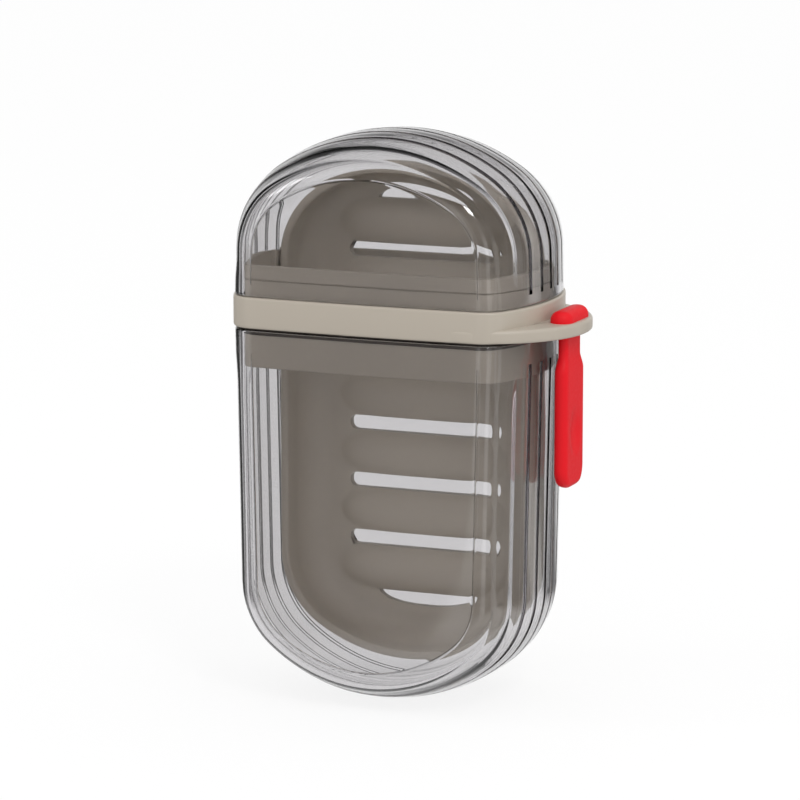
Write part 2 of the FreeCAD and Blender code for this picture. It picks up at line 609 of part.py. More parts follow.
def draw_tray_outline(sketch, inset):
    """Tray seen from the front: straight sides, corner arcs and flatter crowns at its ends, set in evenly."""
    set_in = value(inset)
    side_x = value("Sizes.tray_width") / 2
    top = value("Sizes.tray_height") / 2
    corner = value("Sizes.tray_corner_radius")
    crown = value("Sizes.tray_crown_radius")
    corner_x = side_x - corner
    crown_z = top - crown
    corner_z = crown_z + math.sqrt((crown - corner) ** 2 - corner_x**2)
    turn = math.atan2(corner_z - crown_z, corner_x)
    bend = corner - set_in
    edge_x = side_x - set_in
    pieces = [
        line((edge_x, -corner_z), (edge_x, corner_z)),
        arc((corner_x, corner_z), bend, 0, turn),
        arc((0, crown_z), crown - set_in, turn, math.pi - turn),
        arc((-corner_x, corner_z), bend, math.pi - turn, math.pi),
        line((-edge_x, corner_z), (-edge_x, -corner_z)),
        arc((-corner_x, -corner_z), bend, math.pi, math.pi + turn),
        arc((0, -crown_z), crown - set_in, math.pi + turn, 2 * math.pi - turn),
        arc((corner_x, -corner_z), bend, 2 * math.pi - turn, 2 * math.pi),
    ]
    chain = [sketch.addGeometry(piece, False) for piece in pieces]
    join_smoothly(sketch, chain, True)
    for bent in (chain[1], chain[3], chain[5], chain[7]):
        dimension(sketch, "Radius", bent, "Sizes.tray_corner_radius - (" + inset + ")")
    for crowned in (chain[2], chain[6]):
        dimension(sketch, "Radius", crowned, "Sizes.tray_crown_radius - (" + inset + ")")
    place_point(sketch, chain[2], 3, "0", "Sizes.tray_height / 2 - Sizes.tray_crown_radius")
    place_point(sketch, chain[6], 3, "0", "Sizes.tray_crown_radius - Sizes.tray_height / 2")
    across = "Sizes.tray_width / 2 - Sizes.tray_corner_radius"
    for right_bend in (chain[1], chain[7]):
        dimension(sketch, "DistanceX", -1, 1, right_bend, 3, across)
    for left_bend in (chain[3], chain[5]):
        dimension(sketch, "DistanceX", -1, 1, left_bend, 3, "-(" + across + ")")


def draw_crescent(sketch, sign):
    """Drain opening with a straight inner edge and a bowed outer edge, near one end of the tray."""
    steps = (FULL_DRAIN_COUNT + 1) / 2
    inner_edge = "(" + str(steps) + " * Sizes.drain_pitch - Sizes.drain_height / 2)"
    level = "Sizes.drain_rise " + sign + " " + inner_edge
    half = "Sizes.crescent_width / 2"
    bow = "((" + half + ")^2 / Sizes.crescent_height + Sizes.crescent_height) / 2"
    half_chord, height, radius, flat = [
        value(size) for size in (half, "Sizes.crescent_height", bow, level)
    ]
    upward = 1 if sign == "+" else -1
    centre_y = flat + upward * (height - radius)
    spread = math.asin(half_chord / radius)
    middle = upward * math.pi / 2
    bowed = sketch.addGeometry(arc((0, centre_y), radius, middle - spread, middle + spread), False)
    first, last = (half_chord, -half_chord) if upward > 0 else (-half_chord, half_chord)
    straight = sketch.addGeometry(line((last, flat), (first, flat)), False)
    sketch.addConstraint(Sketcher.Constraint("Coincident", bowed, 2, straight, 1))
    sketch.addConstraint(Sketcher.Constraint("Coincident", straight, 2, bowed, 1))
    dimension(sketch, "Radius", bowed, bow)
    right, left = (half, "-" + half) if upward > 0 else ("-" + half, half)
    place_point(sketch, bowed, 1, right, level)
    place_point(sketch, bowed, 2, left, level)


def make_soap_tray():
    """Dish open to the front, with drain slots, swelling bars between them and a lug on each side."""
    body = new_body("soap_tray", "Sizes.tray_rise")
    back = "(Sizes.tray_floor_place + Sizes.tray_wall)"
    outline = new_sketch(body, "tray_outline", "XZ_Plane", "-Sizes.tray_rim_place")
    draw_tray_outline(outline, "0")
    pad(body, "tray_solid", outline, back + " - Sizes.tray_rim_place", reverse=True)
    fillet(body, "tray_outer_bend", "Sizes.tray_bend_radius", lies_at("Y", back))
    hollow_out(body, "tray_room", "Sizes.tray_wall", "Y", "Sizes.tray_rim_place")

    drains = new_sketch(body, "drain_slots", "XZ_Plane", "-" + back)
    for number in range(FULL_DRAIN_COUNT):
        steps = number - (FULL_DRAIN_COUNT - 1) / 2
        draw_rounded(
            drains,
            ("0", "Sizes.drain_rise + (" + str(steps) + ") * Sizes.drain_pitch"),
            "Sizes.drain_length / 2",
            "Sizes.drain_height / 2",
            "Sizes.drain_end_radius",
        )
    for sign in ("+", "-"):
        draw_crescent(drains, sign)
    pocket(body, "drains", drains, "Sizes.tray_wall + Sizes.bar_proud", reverse=True)

    for number in range(FULL_DRAIN_COUNT + 1):
        steps = number - FULL_DRAIN_COUNT / 2
        bar = body.newObject("PartDesign::AdditiveEllipsoid", "bar_" + str(number + 1))
        bar.setExpression("Radius1", "Sizes.bar_height / 2")
        bar.setExpression("Radius2", "Sizes.bar_length / 2")
        bar.setExpression("Radius3", "Sizes.bar_proud")
        bar.setExpression("Placement.Base.y", "Sizes.tray_floor_place")
        bar.setExpression("Placement.Base.z", "Sizes.drain_rise + (" + str(steps) + ") * Sizes.drain_pitch")

    lugs = new_sketch(body, "lug_plan", "XY_Plane", LUG_LEVEL + " - Sizes.tray_rise")
    root = "(Sizes.tray_width / 2 - Sizes.tray_wall / 2)"
    wall = "(Sizes.body_width / 2 - " + OPENING_INSET + ")"
    sag = "(Sizes.lug_place + Sizes.lug_depth / 2)^2 / (2 * (Sizes.side_radius - " + OPENING_INSET + "))"
    tip = "(" + wall + " - Sizes.guide_clearance - " + sag + ")"
    front = "Sizes.lug_place - Sizes.lug_depth / 2"
    rear = "Sizes.lug_place + Sizes.lug_depth / 2"
    draw_rectangle(lugs, root, tip, front, rear)
    draw_rectangle(lugs, "-" + tip, "-" + root, front, rear)
    pad(body, "lugs", lugs, "Sizes.lug_height")
    return body


def make_strap_head():
    """Upper part of the strap: the bar above the ear and the neck that goes down through the slot."""
    body = new_body("strap_head", "Sizes.box_height")
    plan = new_sketch(body, "head_plan", "XY_Plane", "Sizes.ear_thickness")
    middle = ("Sizes.strap_place", "0")
    rounding = "Sizes.head_width * " + str(HEAD_ROUNDING_SHARE)
    draw_rounded(plan, middle, "Sizes.head_width / 2", "Sizes.head_length / 2", rounding)
    pad(body, "head", plan, "Sizes.head_thickness")
    fillet(
        body,
        "head_edge",
        "Sizes.head_edge_radius",
        lies_at("Z", "Sizes.ear_thickness + Sizes.head_thickness"),
    )
    neck = new_sketch(body, "head_neck_plan", "XY_Plane", "Sizes.ear_thickness")
    half = "Sizes.neck_thickness / 2"
    draw_rectangle(
        neck,
        "Sizes.strap_place - " + half,
        "Sizes.strap_place + " + half,
        "-Sizes.neck_width / 2",
        "Sizes.neck_width / 2",
    )
    pad(
        body,
        "head_neck",
        neck,
        "Sizes.ear_thickness + Sizes.flex_drop - Sizes.neck_thickness / 2 - Sizes.flex_gap",
        reverse=True,
    )
    return body


def make_strap_tail():
    """Lower part of the strap: a neck rounded about the flex line, and a paddle with a thumb dimple."""
    body = new_body("strap_tail", "Sizes.box_height")
    half_neck = "Sizes.neck_width / 2"
    half_tail = "Sizes.tail_width / 2"
    shoulder = "-Sizes.shoulder_drop"
    full = "(-Sizes.shoulder_drop - Sizes.shoulder_height)"

    paddle = new_sketch(body, "tail_face", "YZ_Plane", "Sizes.strap_place")
    bend = value("Sizes.tail_corner_radius")
    neck_y, tail_y = value(half_neck), value(half_tail)
    top_z, full_z, end_z = value(shoulder), value(full), value("-Sizes.tail_drop")
    quarter = math.pi / 2
    pieces = [
        line((tail_y, end_z + bend), (tail_y, full_z)),
        line((tail_y, full_z), (neck_y, top_z)),
        line((neck_y, top_z), (-neck_y, top_z)),
        line((-neck_y, top_z), (-tail_y, full_z)),
        line((-tail_y, full_z), (-tail_y, end_z + bend)),
        arc((bend - tail_y, end_z + bend), bend, math.pi, math.pi + quarter),
        line((bend - tail_y, end_z), (tail_y - bend, end_z)),
        arc((tail_y - bend, end_z + bend), bend, -quarter, 0),
    ]
    chain = [paddle.addGeometry(piece, False) for piece in pieces]
    for first, second in zip(chain[:4], chain[1:5]):
        paddle.addConstraint(Sketcher.Constraint("Coincident", first, 2, second, 1))
    join_smoothly(paddle, chain[4:] + chain[:1], False)
    place_point(paddle, chain[0], 2, half_tail, full)
    place_point(paddle, chain[2], 1, half_neck, shoulder)
    place_point(paddle, chain[2], 2, "-" + half_neck, shoulder)
    place_point(paddle, chain[4], 1, "-" + half_tail, full)
    for corner in (chain[5], chain[7]):
        dimension(paddle, "Radius", corner, "Sizes.tail_corner_radius")
        dimension(paddle, "DistanceY", -1, 1, corner, 3, "Sizes.tail_corner_radius - Sizes.tail_drop")
    paddle.addConstraint(Sketcher.Constraint("Vertical", chain[0]))
    paddle.addConstraint(Sketcher.Constraint("Vertical", chain[4]))
    pad(body, "tail_paddle", paddle, "Sizes.tail_thickness", both_ways=True)
    outer_face = lies_at("X", "Sizes.strap_place + Sizes.tail_thickness / 2")
    inner_face = lies_at("X", "Sizes.strap_place - Sizes.tail_thickness / 2")
    fillet(body, "tail_edges", "Sizes.tail_edge_radius", lambda edge: outer_face(edge) or inner_face(edge))

    neck = new_sketch(body, "tail_neck_side", "XZ_Plane")
    half = value("Sizes.neck_thickness / 2")
    middle = value("Sizes.strap_place")
    pivot = value("-Sizes.flex_drop")
    low = value(full)
    pieces = [
        line((middle - half, low), (middle + half, low)),
        line((middle + half, low), (middle + half, pivot)),
        arc((middle, pivot), half, 0, math.pi),
        line((middle - half, pivot), (middle - half, low)),
    ]
    bottom, outer, knuckle, inner = [neck.addGeometry(piece, False) for piece in pieces]
    neck.addConstraint(Sketcher.Constraint("Coincident", bottom, 2, outer, 1))
    neck.addConstraint(Sketcher.Constraint("Coincident", inner, 2, bottom, 1))
    join_smoothly(neck, [outer, knuckle, inner], False)
    neck.addConstraint(Sketcher.Constraint("Vertical", outer))
    dimension(neck, "Radius", knuckle, "Sizes.neck_thickness / 2")
    place_point(neck, knuckle, 3, "Sizes.strap_place", "-Sizes.flex_drop")
    dimension(neck, "DistanceY", -1, 1, bottom, 1, full)
    dimension(neck, "DistanceY", -1, 1, bottom, 2, full)
    pad(body, "tail_neck", neck, "Sizes.neck_width", both_ways=True)

    dimple = body.newObject("PartDesign::SubtractiveEllipsoid", "thumb_dimple")
    dimple.setExpression("Radius1", "Sizes.dimple_height / 2")
    dimple.setExpression("Radius2", "Sizes.dimple_depth")
    dimple.setExpression("Radius3", "Sizes.dimple_width / 2")
    dimple.setExpression("Placement.Base.x", "Sizes.strap_place + Sizes.tail_thickness / 2")
    dimple.setExpression("Placement.Base.z", "-Sizes.dimple_drop")
    return body


nodes = [
    make_shell("lower_box", "box", "Sizes.box_height", True),
    make_shell("top_cover", "cover", BAND_TOP, False),
    make_band(),
    make_box_seal(),
    make_soap_tray(),
    make_strap_head(),
    make_strap_tail(),
]
document.recompute()

for item in document.Objects:
    if "Invalid" in item.State or "Error" in item.State:
        raise RuntimeError(item.Name + " failed: " + str(item.State))
for node in nodes:
    if node.Shape.isNull() or not node.Shape.isValid():
        raise RuntimeError(node.Label + " has no valid shape")

os.makedirs("parts", exist_ok=True)
for node in nodes:
    node.Shape.exportStep(os.path.join("parts", node.Label + ".step"))
    box = node.Shape.BoundBox
    print(
        node.Label,
        len(node.Shape.Solids),
        round(node.Shape.Volume, 1),
        [round(side, 2) for side in (box.XMin, box.XMax, box.YMin, box.YMax, box.ZMin, box.ZMax)],
    )
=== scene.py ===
"""Looks of a travel soap box: two clear shells, a beige band and drain tray, a seal ring and a red strap.

Shapes are worked out in millimetres in the shells' own frame: X across from their middle line, Y to the back
and Z up from the lowest point of the box. A mesh moves into the shared frame, in metres, when it is put in.
"""
import math

import bmesh
import bpy
import numpy as np
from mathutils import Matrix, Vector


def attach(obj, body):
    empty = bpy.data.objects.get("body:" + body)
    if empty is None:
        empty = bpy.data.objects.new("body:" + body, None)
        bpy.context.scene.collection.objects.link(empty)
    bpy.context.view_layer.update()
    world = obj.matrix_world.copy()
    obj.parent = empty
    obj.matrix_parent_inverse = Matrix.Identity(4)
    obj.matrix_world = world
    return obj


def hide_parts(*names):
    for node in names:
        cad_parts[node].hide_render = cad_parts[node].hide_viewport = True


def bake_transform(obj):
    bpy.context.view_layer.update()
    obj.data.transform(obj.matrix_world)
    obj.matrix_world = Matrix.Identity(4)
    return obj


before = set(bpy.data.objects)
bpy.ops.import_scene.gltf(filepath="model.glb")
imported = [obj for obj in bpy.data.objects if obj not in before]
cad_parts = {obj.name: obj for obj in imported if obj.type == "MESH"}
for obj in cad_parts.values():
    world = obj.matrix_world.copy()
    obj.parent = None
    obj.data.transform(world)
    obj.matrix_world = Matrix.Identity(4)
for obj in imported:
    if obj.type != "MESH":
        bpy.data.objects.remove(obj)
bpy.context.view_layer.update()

bl_info = {
    "name": "Travel soap box",
    "version": (1, 0, 0),
    "blender": (4, 5, 0),
    "location": "3D View > Sidebar > Soap box",
    "description": "Builds the looks of a travel soap box round its packed solids",
    "category": "Object",
}

MM = 0.001
QUARTER = math.pi / 2
VIEW_AZIMUTH = math.radians(22.52)

# Places and sizes that the looks share with the solids, in millimetres
MIDDLE_X = -4.15
HALF_WIDTH = 38.0
HALF_DEPTH = 24.0
SIDE_RADIUS = 50.0
EDGE_RADIUS = 6.0
EDGE_Y = HALF_DEPTH - EDGE_RADIUS
PANEL_INSET = SIDE_RADIUS - math.sqrt((SIDE_RADIUS - EDGE_RADIUS) ** 2 - EDGE_Y**2)
EDGE_X = HALF_WIDTH - PANEL_INSET
BARREL_X = HALF_WIDTH - SIDE_RADIUS
MEET_ANGLE = math.atan2(EDGE_Y, EDGE_X - BARREL_X)
BOX_HEIGHT = 89.2
BAND_HEIGHT = 8.3
BAND_TOP = BOX_HEIGHT + BAND_HEIGHT
BAND_LOW = 0.55
BAND_SEAM = 7.9
BOX_ARCH = {"height": BOX_HEIGHT, "corner": 24.0, "crown": 44.4, "draft": math.radians(1.05)}
COVER_ARCH = {"height": 37.99, "corner": 23.6, "crown": 49.6, "draft": math.radians(1.2)}
GROOVE_STEPS = (-2, -1, 0, 1, 2)
BOW_FALL = 0.8
BOW_REACH = 30.0


def linear_colour(hex_colour):
    """Linear red, green, blue and alpha of an sRGB hex colour."""
    shares = np.array([int(hex_colour[i : i + 2], 16) / 255 for i in (1, 3, 5)])
    linear = np.where(shares <= 0.04045, shares / 12.92, ((shares + 0.055) / 1.055) ** 2.4)
    return (*linear.tolist(), 1.0)


def size_property(name, description, millimetres):
    """Length that a user can change."""
    return bpy.props.FloatProperty(
        name=name,
        description=description,
        default=millimetres * MM,
        min=0.0,
        precision=5,
        subtype="DISTANCE",
        unit="LENGTH",
    )


def colour_property(name, description, hex_colour):
    """Colour that a user can change, in linear values."""
    return bpy.props.FloatVectorProperty(
        name=name,
        description=description,
        default=linear_colour(hex_colour),
        size=4,
        min=0.0,
        max=1.0,
        subtype="COLOR",
    )


class SoapBoxSizes(bpy.types.PropertyGroup):
    """Sizes that set how the pieces look."""

    shell_wall: size_property("Shell wall", "Wall of the clear shells", 2.0)
    groove_width: size_property("Groove width", "Grooves round the shells", 1.3)
    groove_depth: size_property("Groove depth", "Grooves round the shells", 1.05)
    groove_pitch: size_property("Groove pitch", "Spacing of the grooves round the side", 5.3)
    box_rim: size_property("Box rim", "Plain rim of the box above its groove ends", 5.6)
    cover_rim: size_property("Cover rim", "Plain rim of the cover below its groove ends", 2.4)
    mouth_edge: size_property("Mouth edge", "Rounded outer edge at the mouth of a shell", 0.4)
    seam_gap: size_property("Seam gap", "Shadow gap between the cover and the band", 0.25)
    band_edge: size_property("Band edge", "Rounded outer edges of the band", 0.6)
    ear_edge: size_property("Ear edge", "Rounded upper edge of the ear", 0.9)
    tray_lip: size_property("Tray lip", "Rounded lip of the soap tray", 0.7)
    bar_proud: size_property("Bar rise", "How far the bars of the tray swell out", 2.2)
    dimple_depth: size_property("Dimple depth", "Thumb dimple of the strap", 0.9)


class SoapBoxColours(bpy.types.PropertyGroup):
    """Colours of the mouldings."""

    smoke: colour_property("Smoke tint", "What one wall of the clear shells lets through", "#E9E8E9")
    beige: colour_property("Beige", "Band and soap tray", "#B2A99C")
    red: colour_property("Red", "Strap", "#E2131F")
    seal: colour_property("Seal", "Seal ring", "#57504A")
    floor: colour_property("Floor", "Pale studio floor", "#F2F2F2")


def as_rows(*values):
    """One row for each value, spread to one shape."""
    return np.stack(np.broadcast_arrays(*values))


def as_points(x, y, z):
    """List of points from arrays of their X, Y and Z."""
    return as_rows(x, y, z).reshape(3, -1).T


def grid_quads(rows, columns, closed_rows=False, closed_columns=False):
    """Index quads of a grid of points kept row by row, with its ends joined where it is closed."""
    index = np.arange(rows * columns).reshape(rows, columns)
    if closed_columns:
        index = np.hstack([index, index[:, :1]])
    if closed_rows:
        index = np.vstack([index, index[:1]])
    quads = np.stack([index[:-1, :-1], index[:-1, 1:], index[1:, 1:], index[1:, :-1]], axis=-1)
    return quads.reshape(-1, 4)


def strip_quads(chain):
    """Quads that close a loop or arch of points flat, each step joined to the one across from it."""
    near = chain[: len(chain) // 2]
    far = chain[::-1][: len(chain) // 2]
    return np.stack([near[:-1], near[1:], far[1:], far[:-1]], axis=-1)


def join_surfaces(surfaces):
    """One set of points and quads from several."""
    starts = np.cumsum([0] + [len(points) for points, quads in surfaces[:-1]])
    points = np.vstack([points for points, quads in surfaces])
    quads = np.vstack([quads + start for start, (_, quads) in zip(starts, surfaces)])
    return points, quads


def put_piece(name, surfaces, material):
    """Puts closed surfaces into one mesh: seams merged, faces outwards, shaded soft between sharp edges."""
    points, quads = join_surfaces(surfaces)
    mesh = bpy.data.meshes.new(name)
    mesh.from_pydata(((points + (MIDDLE_X, 0, 0)) * MM).tolist(), [], quads.tolist())
    shape = bmesh.new()
    shape.from_mesh(mesh)
    seam_reach, sharp_angle = 0.0005 * MM, math.radians(40.0)
    bmesh.ops.remove_doubles(shape, verts=shape.verts, dist=seam_reach)
    bmesh.ops.dissolve_degenerate(shape, edges=shape.edges, dist=seam_reach)
    bmesh.ops.recalc_face_normals(shape, faces=shape.faces)
    shape.to_mesh(mesh)
    shape.free()
    mesh.polygons.foreach_set("use_smooth", np.ones(len(mesh.polygons), dtype=bool))
    mesh.set_sharp_from_angle(angle=sharp_angle)
    mesh.materials.append(material)
    piece = bpy.data.objects.new(name, mesh)
    bpy.context.scene.collection.objects.link(piece)
    return piece


def bowed(points):
    """Bows the front and the back: a point falls inwards by the squares of its X and Y."""
    x, y, z = points.T
    fall = BOW_FALL * (x / BOW_REACH) ** 2 * (y / HALF_DEPTH) ** 2
    return np.column_stack([x, y - np.sign(y) * fall, z])


def level_loop(corner_steps=12, barrel_steps=40, panel_steps=24):
    """Level section of the shells, six tangent arcs and two panels: centres, radii and angles of its points.

    A point set in by d lies at its centre plus (radius - d) times the cosine and sine of its angle. The left
    side and the front are the right side and the back, turned by half a turn.
    """
    half = []
    for centre_x, centre_y, radius, start, end, steps, with_end in (
        (EDGE_X, -EDGE_Y, EDGE_RADIUS, -QUARTER, -MEET_ANGLE, corner_steps, False),
        (BARREL_X, 0.0, SIDE_RADIUS, -MEET_ANGLE, MEET_ANGLE, barrel_steps, False),
        (EDGE_X, EDGE_Y, EDGE_RADIUS, MEET_ANGLE, QUARTER, corner_steps, True),
    ):
        half.append(as_rows(centre_x, centre_y, radius, np.linspace(start, end, steps, endpoint=with_end)))
    run = np.linspace(EDGE_X, -EDGE_X, panel_steps)[1:-1]
    centre_x, centre_y, radius, angle = np.hstack([*half, as_rows(run, EDGE_Y, EDGE_RADIUS, QUARTER)])
    turned = as_rows(-centre_x, -centre_y, radius, angle + math.pi)
    return np.hstack([as_rows(centre_x, centre_y, radius, angle), turned])


def carry_round(profile, base_height):
    """Closed surface of a closed profile carried round the bowed level section.

    Each profile point is an inset from the section and a height above a base.
    """
    centre_x, centre_y, radius, angle = level_loop()
    inset, height = np.array(profile, dtype=float).T[:, :, None]
    x = centre_x + (radius - inset) * np.cos(angle)
    y = centre_y + (radius - inset) * np.sin(angle)
    points = as_points(x, y, base_height + height)
    return bowed(points), grid_quads(*x.shape, closed_rows=True, closed_columns=True)


def rounded_corner(centre, radius, start, end, steps=6):
    """Points of an arc in a profile, with its angles in degrees."""
    angle = np.radians(np.linspace(start, end, steps))
    return np.column_stack([centre[0] + radius * np.cos(angle), centre[1] + radius * np.sin(angle)])


def arch_frame(arch, rim, mouth_edge, straight_steps=16, corner_steps=30, crown_half_steps=22):
    """Arch of a shell from its right mouth over the crown to its left mouth.

    Gives each point's place and outward direction, how far it slides to keep the mouth flat when it is set
    in, whether it lies past the plain rim, where the grooves are, how far the edge line has faded in past the
    rim and how far the rounded mouth cuts it back.
    """
    draft, corner, crown = arch["draft"], arch["corner"], arch["crown"]
    # The corner's centre lies along the leaning side, and off the crown's centre by what their radii differ
    lean = math.tan(draft)
    foot_x = HALF_WIDTH - corner / math.cos(draft)
    crown_z = arch["height"] - crown
    reach = crown - corner
    half_b = -lean * foot_x - crown_z
    rest = foot_x**2 + crown_z**2 - reach**2
    slope = 1 + lean**2
    corner_z = (-half_b + math.sqrt(half_b**2 - slope * rest)) / slope
    corner_x = foot_x - lean * corner_z
    turn = math.atan2(corner_z - crown_z, corner_x)
    side_length = (corner_z + corner * math.sin(draft)) / math.cos(draft)

    groove_step = 0.01
    past_rim = np.linspace(rim + groove_step, side_length, straight_steps, endpoint=False)
    round_out = np.linspace(0, QUARTER, 6)
    mouth = mouth_edge * (1 - np.cos(round_out))
    along = np.concatenate([mouth, [(mouth_edge + rim) / 2, rim], past_rim])
    fade_length = 7.0
    fade = np.clip((along - rim) / fade_length, 0, 1)
    mouth_cut = np.zeros(along.shape)
    mouth_cut[: len(mouth)] = mouth_edge * (1 - np.sin(round_out))
    straight = as_rows(
        HALF_WIDTH - along * math.sin(draft),
        along * math.cos(draft),
        math.cos(draft),
        math.sin(draft),
        1 - along / side_length,
        along > rim,
        fade**2 * (3 - 2 * fade),
        mouth_cut,
    )
    # The two halves of the crown meet across one whole step
    crown_shares = np.arange(crown_half_steps) / (crown_half_steps - 0.5)
    bends = []
    for centre_x, centre_z, radius, angle in (
        (corner_x, corner_z, corner, np.linspace(draft, turn, corner_steps, endpoint=False)),
        (0.0, crown_z, crown, turn + (QUARTER - turn) * crown_shares),
    ):
        out_x, out_z = np.cos(angle), np.sin(angle)
        bends.append(as_rows(centre_x + radius * out_x, centre_z + radius * out_z, out_x, out_z, 0, 1, 1, 0))
    right = np.hstack([straight, *bends])
    left = right[:, ::-1] * np.array([-1, 1, -1, 1, 1, 1, 1, 1])[:, None]
    return np.hstack([right, left])


def side_frame(groove_width, groove_depth, groove_pitch):
    """Side wall of a shell from the front panel to the back panel, as points on tangent arcs.

    Gives each point's arc centre, as an inset from the crest and a Y, its radius, its angle, its groove depth
    outside, which follows half an ellipse, its depth at the edge line, and the depth of the fine line inside
    along the edge of a panel. The edge line lies one pitch past the last groove: a short slope down that
    fades out round the corner arc.
    """
    round_steps, land_steps, corner_steps = 11, 5, 12
    line_angles = np.radians([0.0, 1.5, 3.0, 4.5])
    line_depth = 0.1
    past_line = np.linspace(line_angles[-1] - QUARTER, -MEET_ANGLE, corner_steps, endpoint=False)[1:]
    corner = np.concatenate([line_angles - QUARTER, past_line])
    line = np.zeros(corner.shape)
    line[1:3] = line_depth
    swing = np.linspace(-QUARTER, QUARTER, round_steps)
    half_groove = groove_width / 2 / SIDE_RADIUS
    middles = np.array(GROOVE_STEPS) * groove_pitch / SIDE_RADIUS
    land_starts = np.concatenate([[-MEET_ANGLE], middles + half_groove])
    land_ends = np.concatenate([middles - half_groove, [MEET_ANGLE]])
    lands = [np.linspace(start, end, land_steps)[1:-1] for start, end in zip(land_starts, land_ends)]
    grooves = [middle + half_groove * np.sin(swing) for middle in middles]
    edge_line = (max(GROOVE_STEPS) + 1) * groove_pitch / SIDE_RADIUS
    edge_slope, edge_depth = 1.25 / SIDE_RADIUS, 0.32
    crisp = 0.05 / SIDE_RADIUS
    turns = edge_line + np.array([-crisp, crisp, edge_slope - crisp, edge_slope + crisp])
    barrel_angle = np.sort(np.concatenate([[-MEET_ANGLE, MEET_ANGLE], *lands, *grooves, -turns, turns]))
    from_groove = np.abs(barrel_angle[:, None] - middles).min(axis=1) / half_groove
    barrel_depth = groove_depth * np.sqrt(np.clip(1 - from_groove**2, 0, 1))
    barrel_edge = edge_depth * np.interp(np.abs(barrel_angle), [edge_line, edge_line + edge_slope], [0, 1])
    corner_edge = edge_depth * (corner + QUARTER) / (QUARTER - MEET_ANGLE)
    near_corner = as_rows(PANEL_INSET, -EDGE_Y, EDGE_RADIUS, corner, 0, corner_edge, line)
    barrel = as_rows(SIDE_RADIUS, 0, SIDE_RADIUS, barrel_angle, barrel_depth, barrel_edge, 0)
    far_corner = near_corner[:, ::-1] * np.array([1, -1, 1, -1, 1, 1, 1])[:, None]
    return np.hstack([near_corner, barrel, far_corner])


def panel_points(arch_edge, columns=24):
    """Grid of a panel across an arch, each row from a point on its right to the one across on its left.

    The last row, at the crown, has no points but the two that it joins.
    """
    half = len(arch_edge) // 2
    right, left = arch_edge[:half, None], arch_edge[::-1][:half, None]
    share = np.tile(np.linspace(0, 1, columns), (half, 1))
    share[-1] = np.round(share[-1])
    return right + (left - right) * share[..., None]


def shell_surface(arch, wall, groove_width, groove_depth, groove_pitch, mouth_edge, rim):
    """Wall of a clear shell as one closed surface: its side profile carried along the arch, out and in.

    Bowed grids close the front and back panels, and a flat rim joins the two skins at the mouth, at height 0.
    """
    place_x, place_z, out_x, out_z, slide, grooved, faded, mouth_cut = arch_frame(arch, rim, mouth_edge)
    side = side_frame(groove_width, groove_depth, groove_pitch)
    centre_inset, centre_y, radius, angle, depth, edge_depth, line = side[..., None]
    lean_x = np.sign(place_x) * math.tan(arch["draft"]) * math.sin(arch["draft"])
    lean_z = math.tan(arch["draft"]) * math.cos(arch["draft"])

    def skin(set_in, cut):
        inset = centre_inset - (radius - set_in - cut) * np.cos(angle)
        y = centre_y + (radius - set_in - cut) * np.sin(angle)
        x = place_x - inset * (out_x + slide * lean_x)
        z = place_z - inset * (out_z - slide * lean_z)
        return np.stack(np.broadcast_arrays(x, y, z), axis=-1)

    outer = skin(0.0, depth * grooved + edge_depth * faded + mouth_cut)
    inner = skin(wall, -line * grooved)
    grids = [outer, inner]
    for edge in (0, -1):
        panels = [panel_points(outer[edge]), panel_points(inner[edge])]
        rim_edge = np.stack([panels[0][0], panels[1][0]])
        grids += [*panels, rim_edge]
    grids += [np.stack([outer[:, end], inner[:, end]]) for end in (0, -1)]
    points, quads = join_surfaces([(grid.reshape(-1, 3), grid_quads(*grid.shape[:2])) for grid in grids])
    return bowed(points), quads


def section_loop(corner_steps, flat_steps):
    """Rounded rectangle as shares of its half sizes less its corner radius, and of its corner radius."""
    shares = np.linspace(-1, 1, flat_steps + 1)[1:-1]
    columns = []
    for turn, (side_x, side_y) in enumerate([(1, 1), (-1, 1), (-1, -1), (1, -1)]):
        angle = turn * QUARTER + np.linspace(0, QUARTER, corner_steps)
        columns.append(as_rows(side_x, side_y, np.cos(angle), np.sin(angle)))
        if turn % 2 == 0:
            columns.append(as_rows(-shares * side_y, side_y, 0, side_y))
        else:
            columns.append(as_rows(side_x, shares * side_x, side_x, 0))
    return np.hstack(columns)


def stacked_surface(levels, half_x, half_y, corner, loop):
    """Closed surface of rounded rectangles stacked up Z about the Z axis, with flat ends.

    Each level has a height, two half sizes and a corner radius.
    """
    part_x, part_y, round_x, round_y = loop
    levels, half_x, half_y, corner = np.array([levels, half_x, half_y, corner])[:, :, None]
    x = (half_x - corner) * part_x + corner * round_x
    y = (half_y - corner) * part_y + corner * round_y
    index = np.arange(x.size).reshape(x.shape)
    faces = [grid_quads(*x.shape, closed_columns=True), strip_quads(index[0]), strip_quads(index[-1])]
    return as_points(x, y, levels), np.vstack(faces)


def rounded_bar(low, high, edge):
    """Block between two corners with its edges rounded, as rounded rectangles stacked up Z."""
    low, high = np.array(low), np.array(high)
    half = (high - low) / 2
    middle = (high + low) / 2
    angle = np.linspace(0, QUARTER, 5)
    rise = edge * (1 - np.cos(angle))
    set_in = edge * (1 - np.sin(angle))
    levels = np.concatenate([low[2] + rise, (high[2] - rise)[::-1]])
    shrink = np.concatenate([set_in, set_in[::-1]])
    corner = edge - shrink / 2
    loop = section_loop(corner_steps=5, flat_steps=1)
    points, faces = stacked_surface(levels, half[0] - shrink, half[1] - shrink, corner, loop)
    return points + (middle[0], middle[1], 0), faces


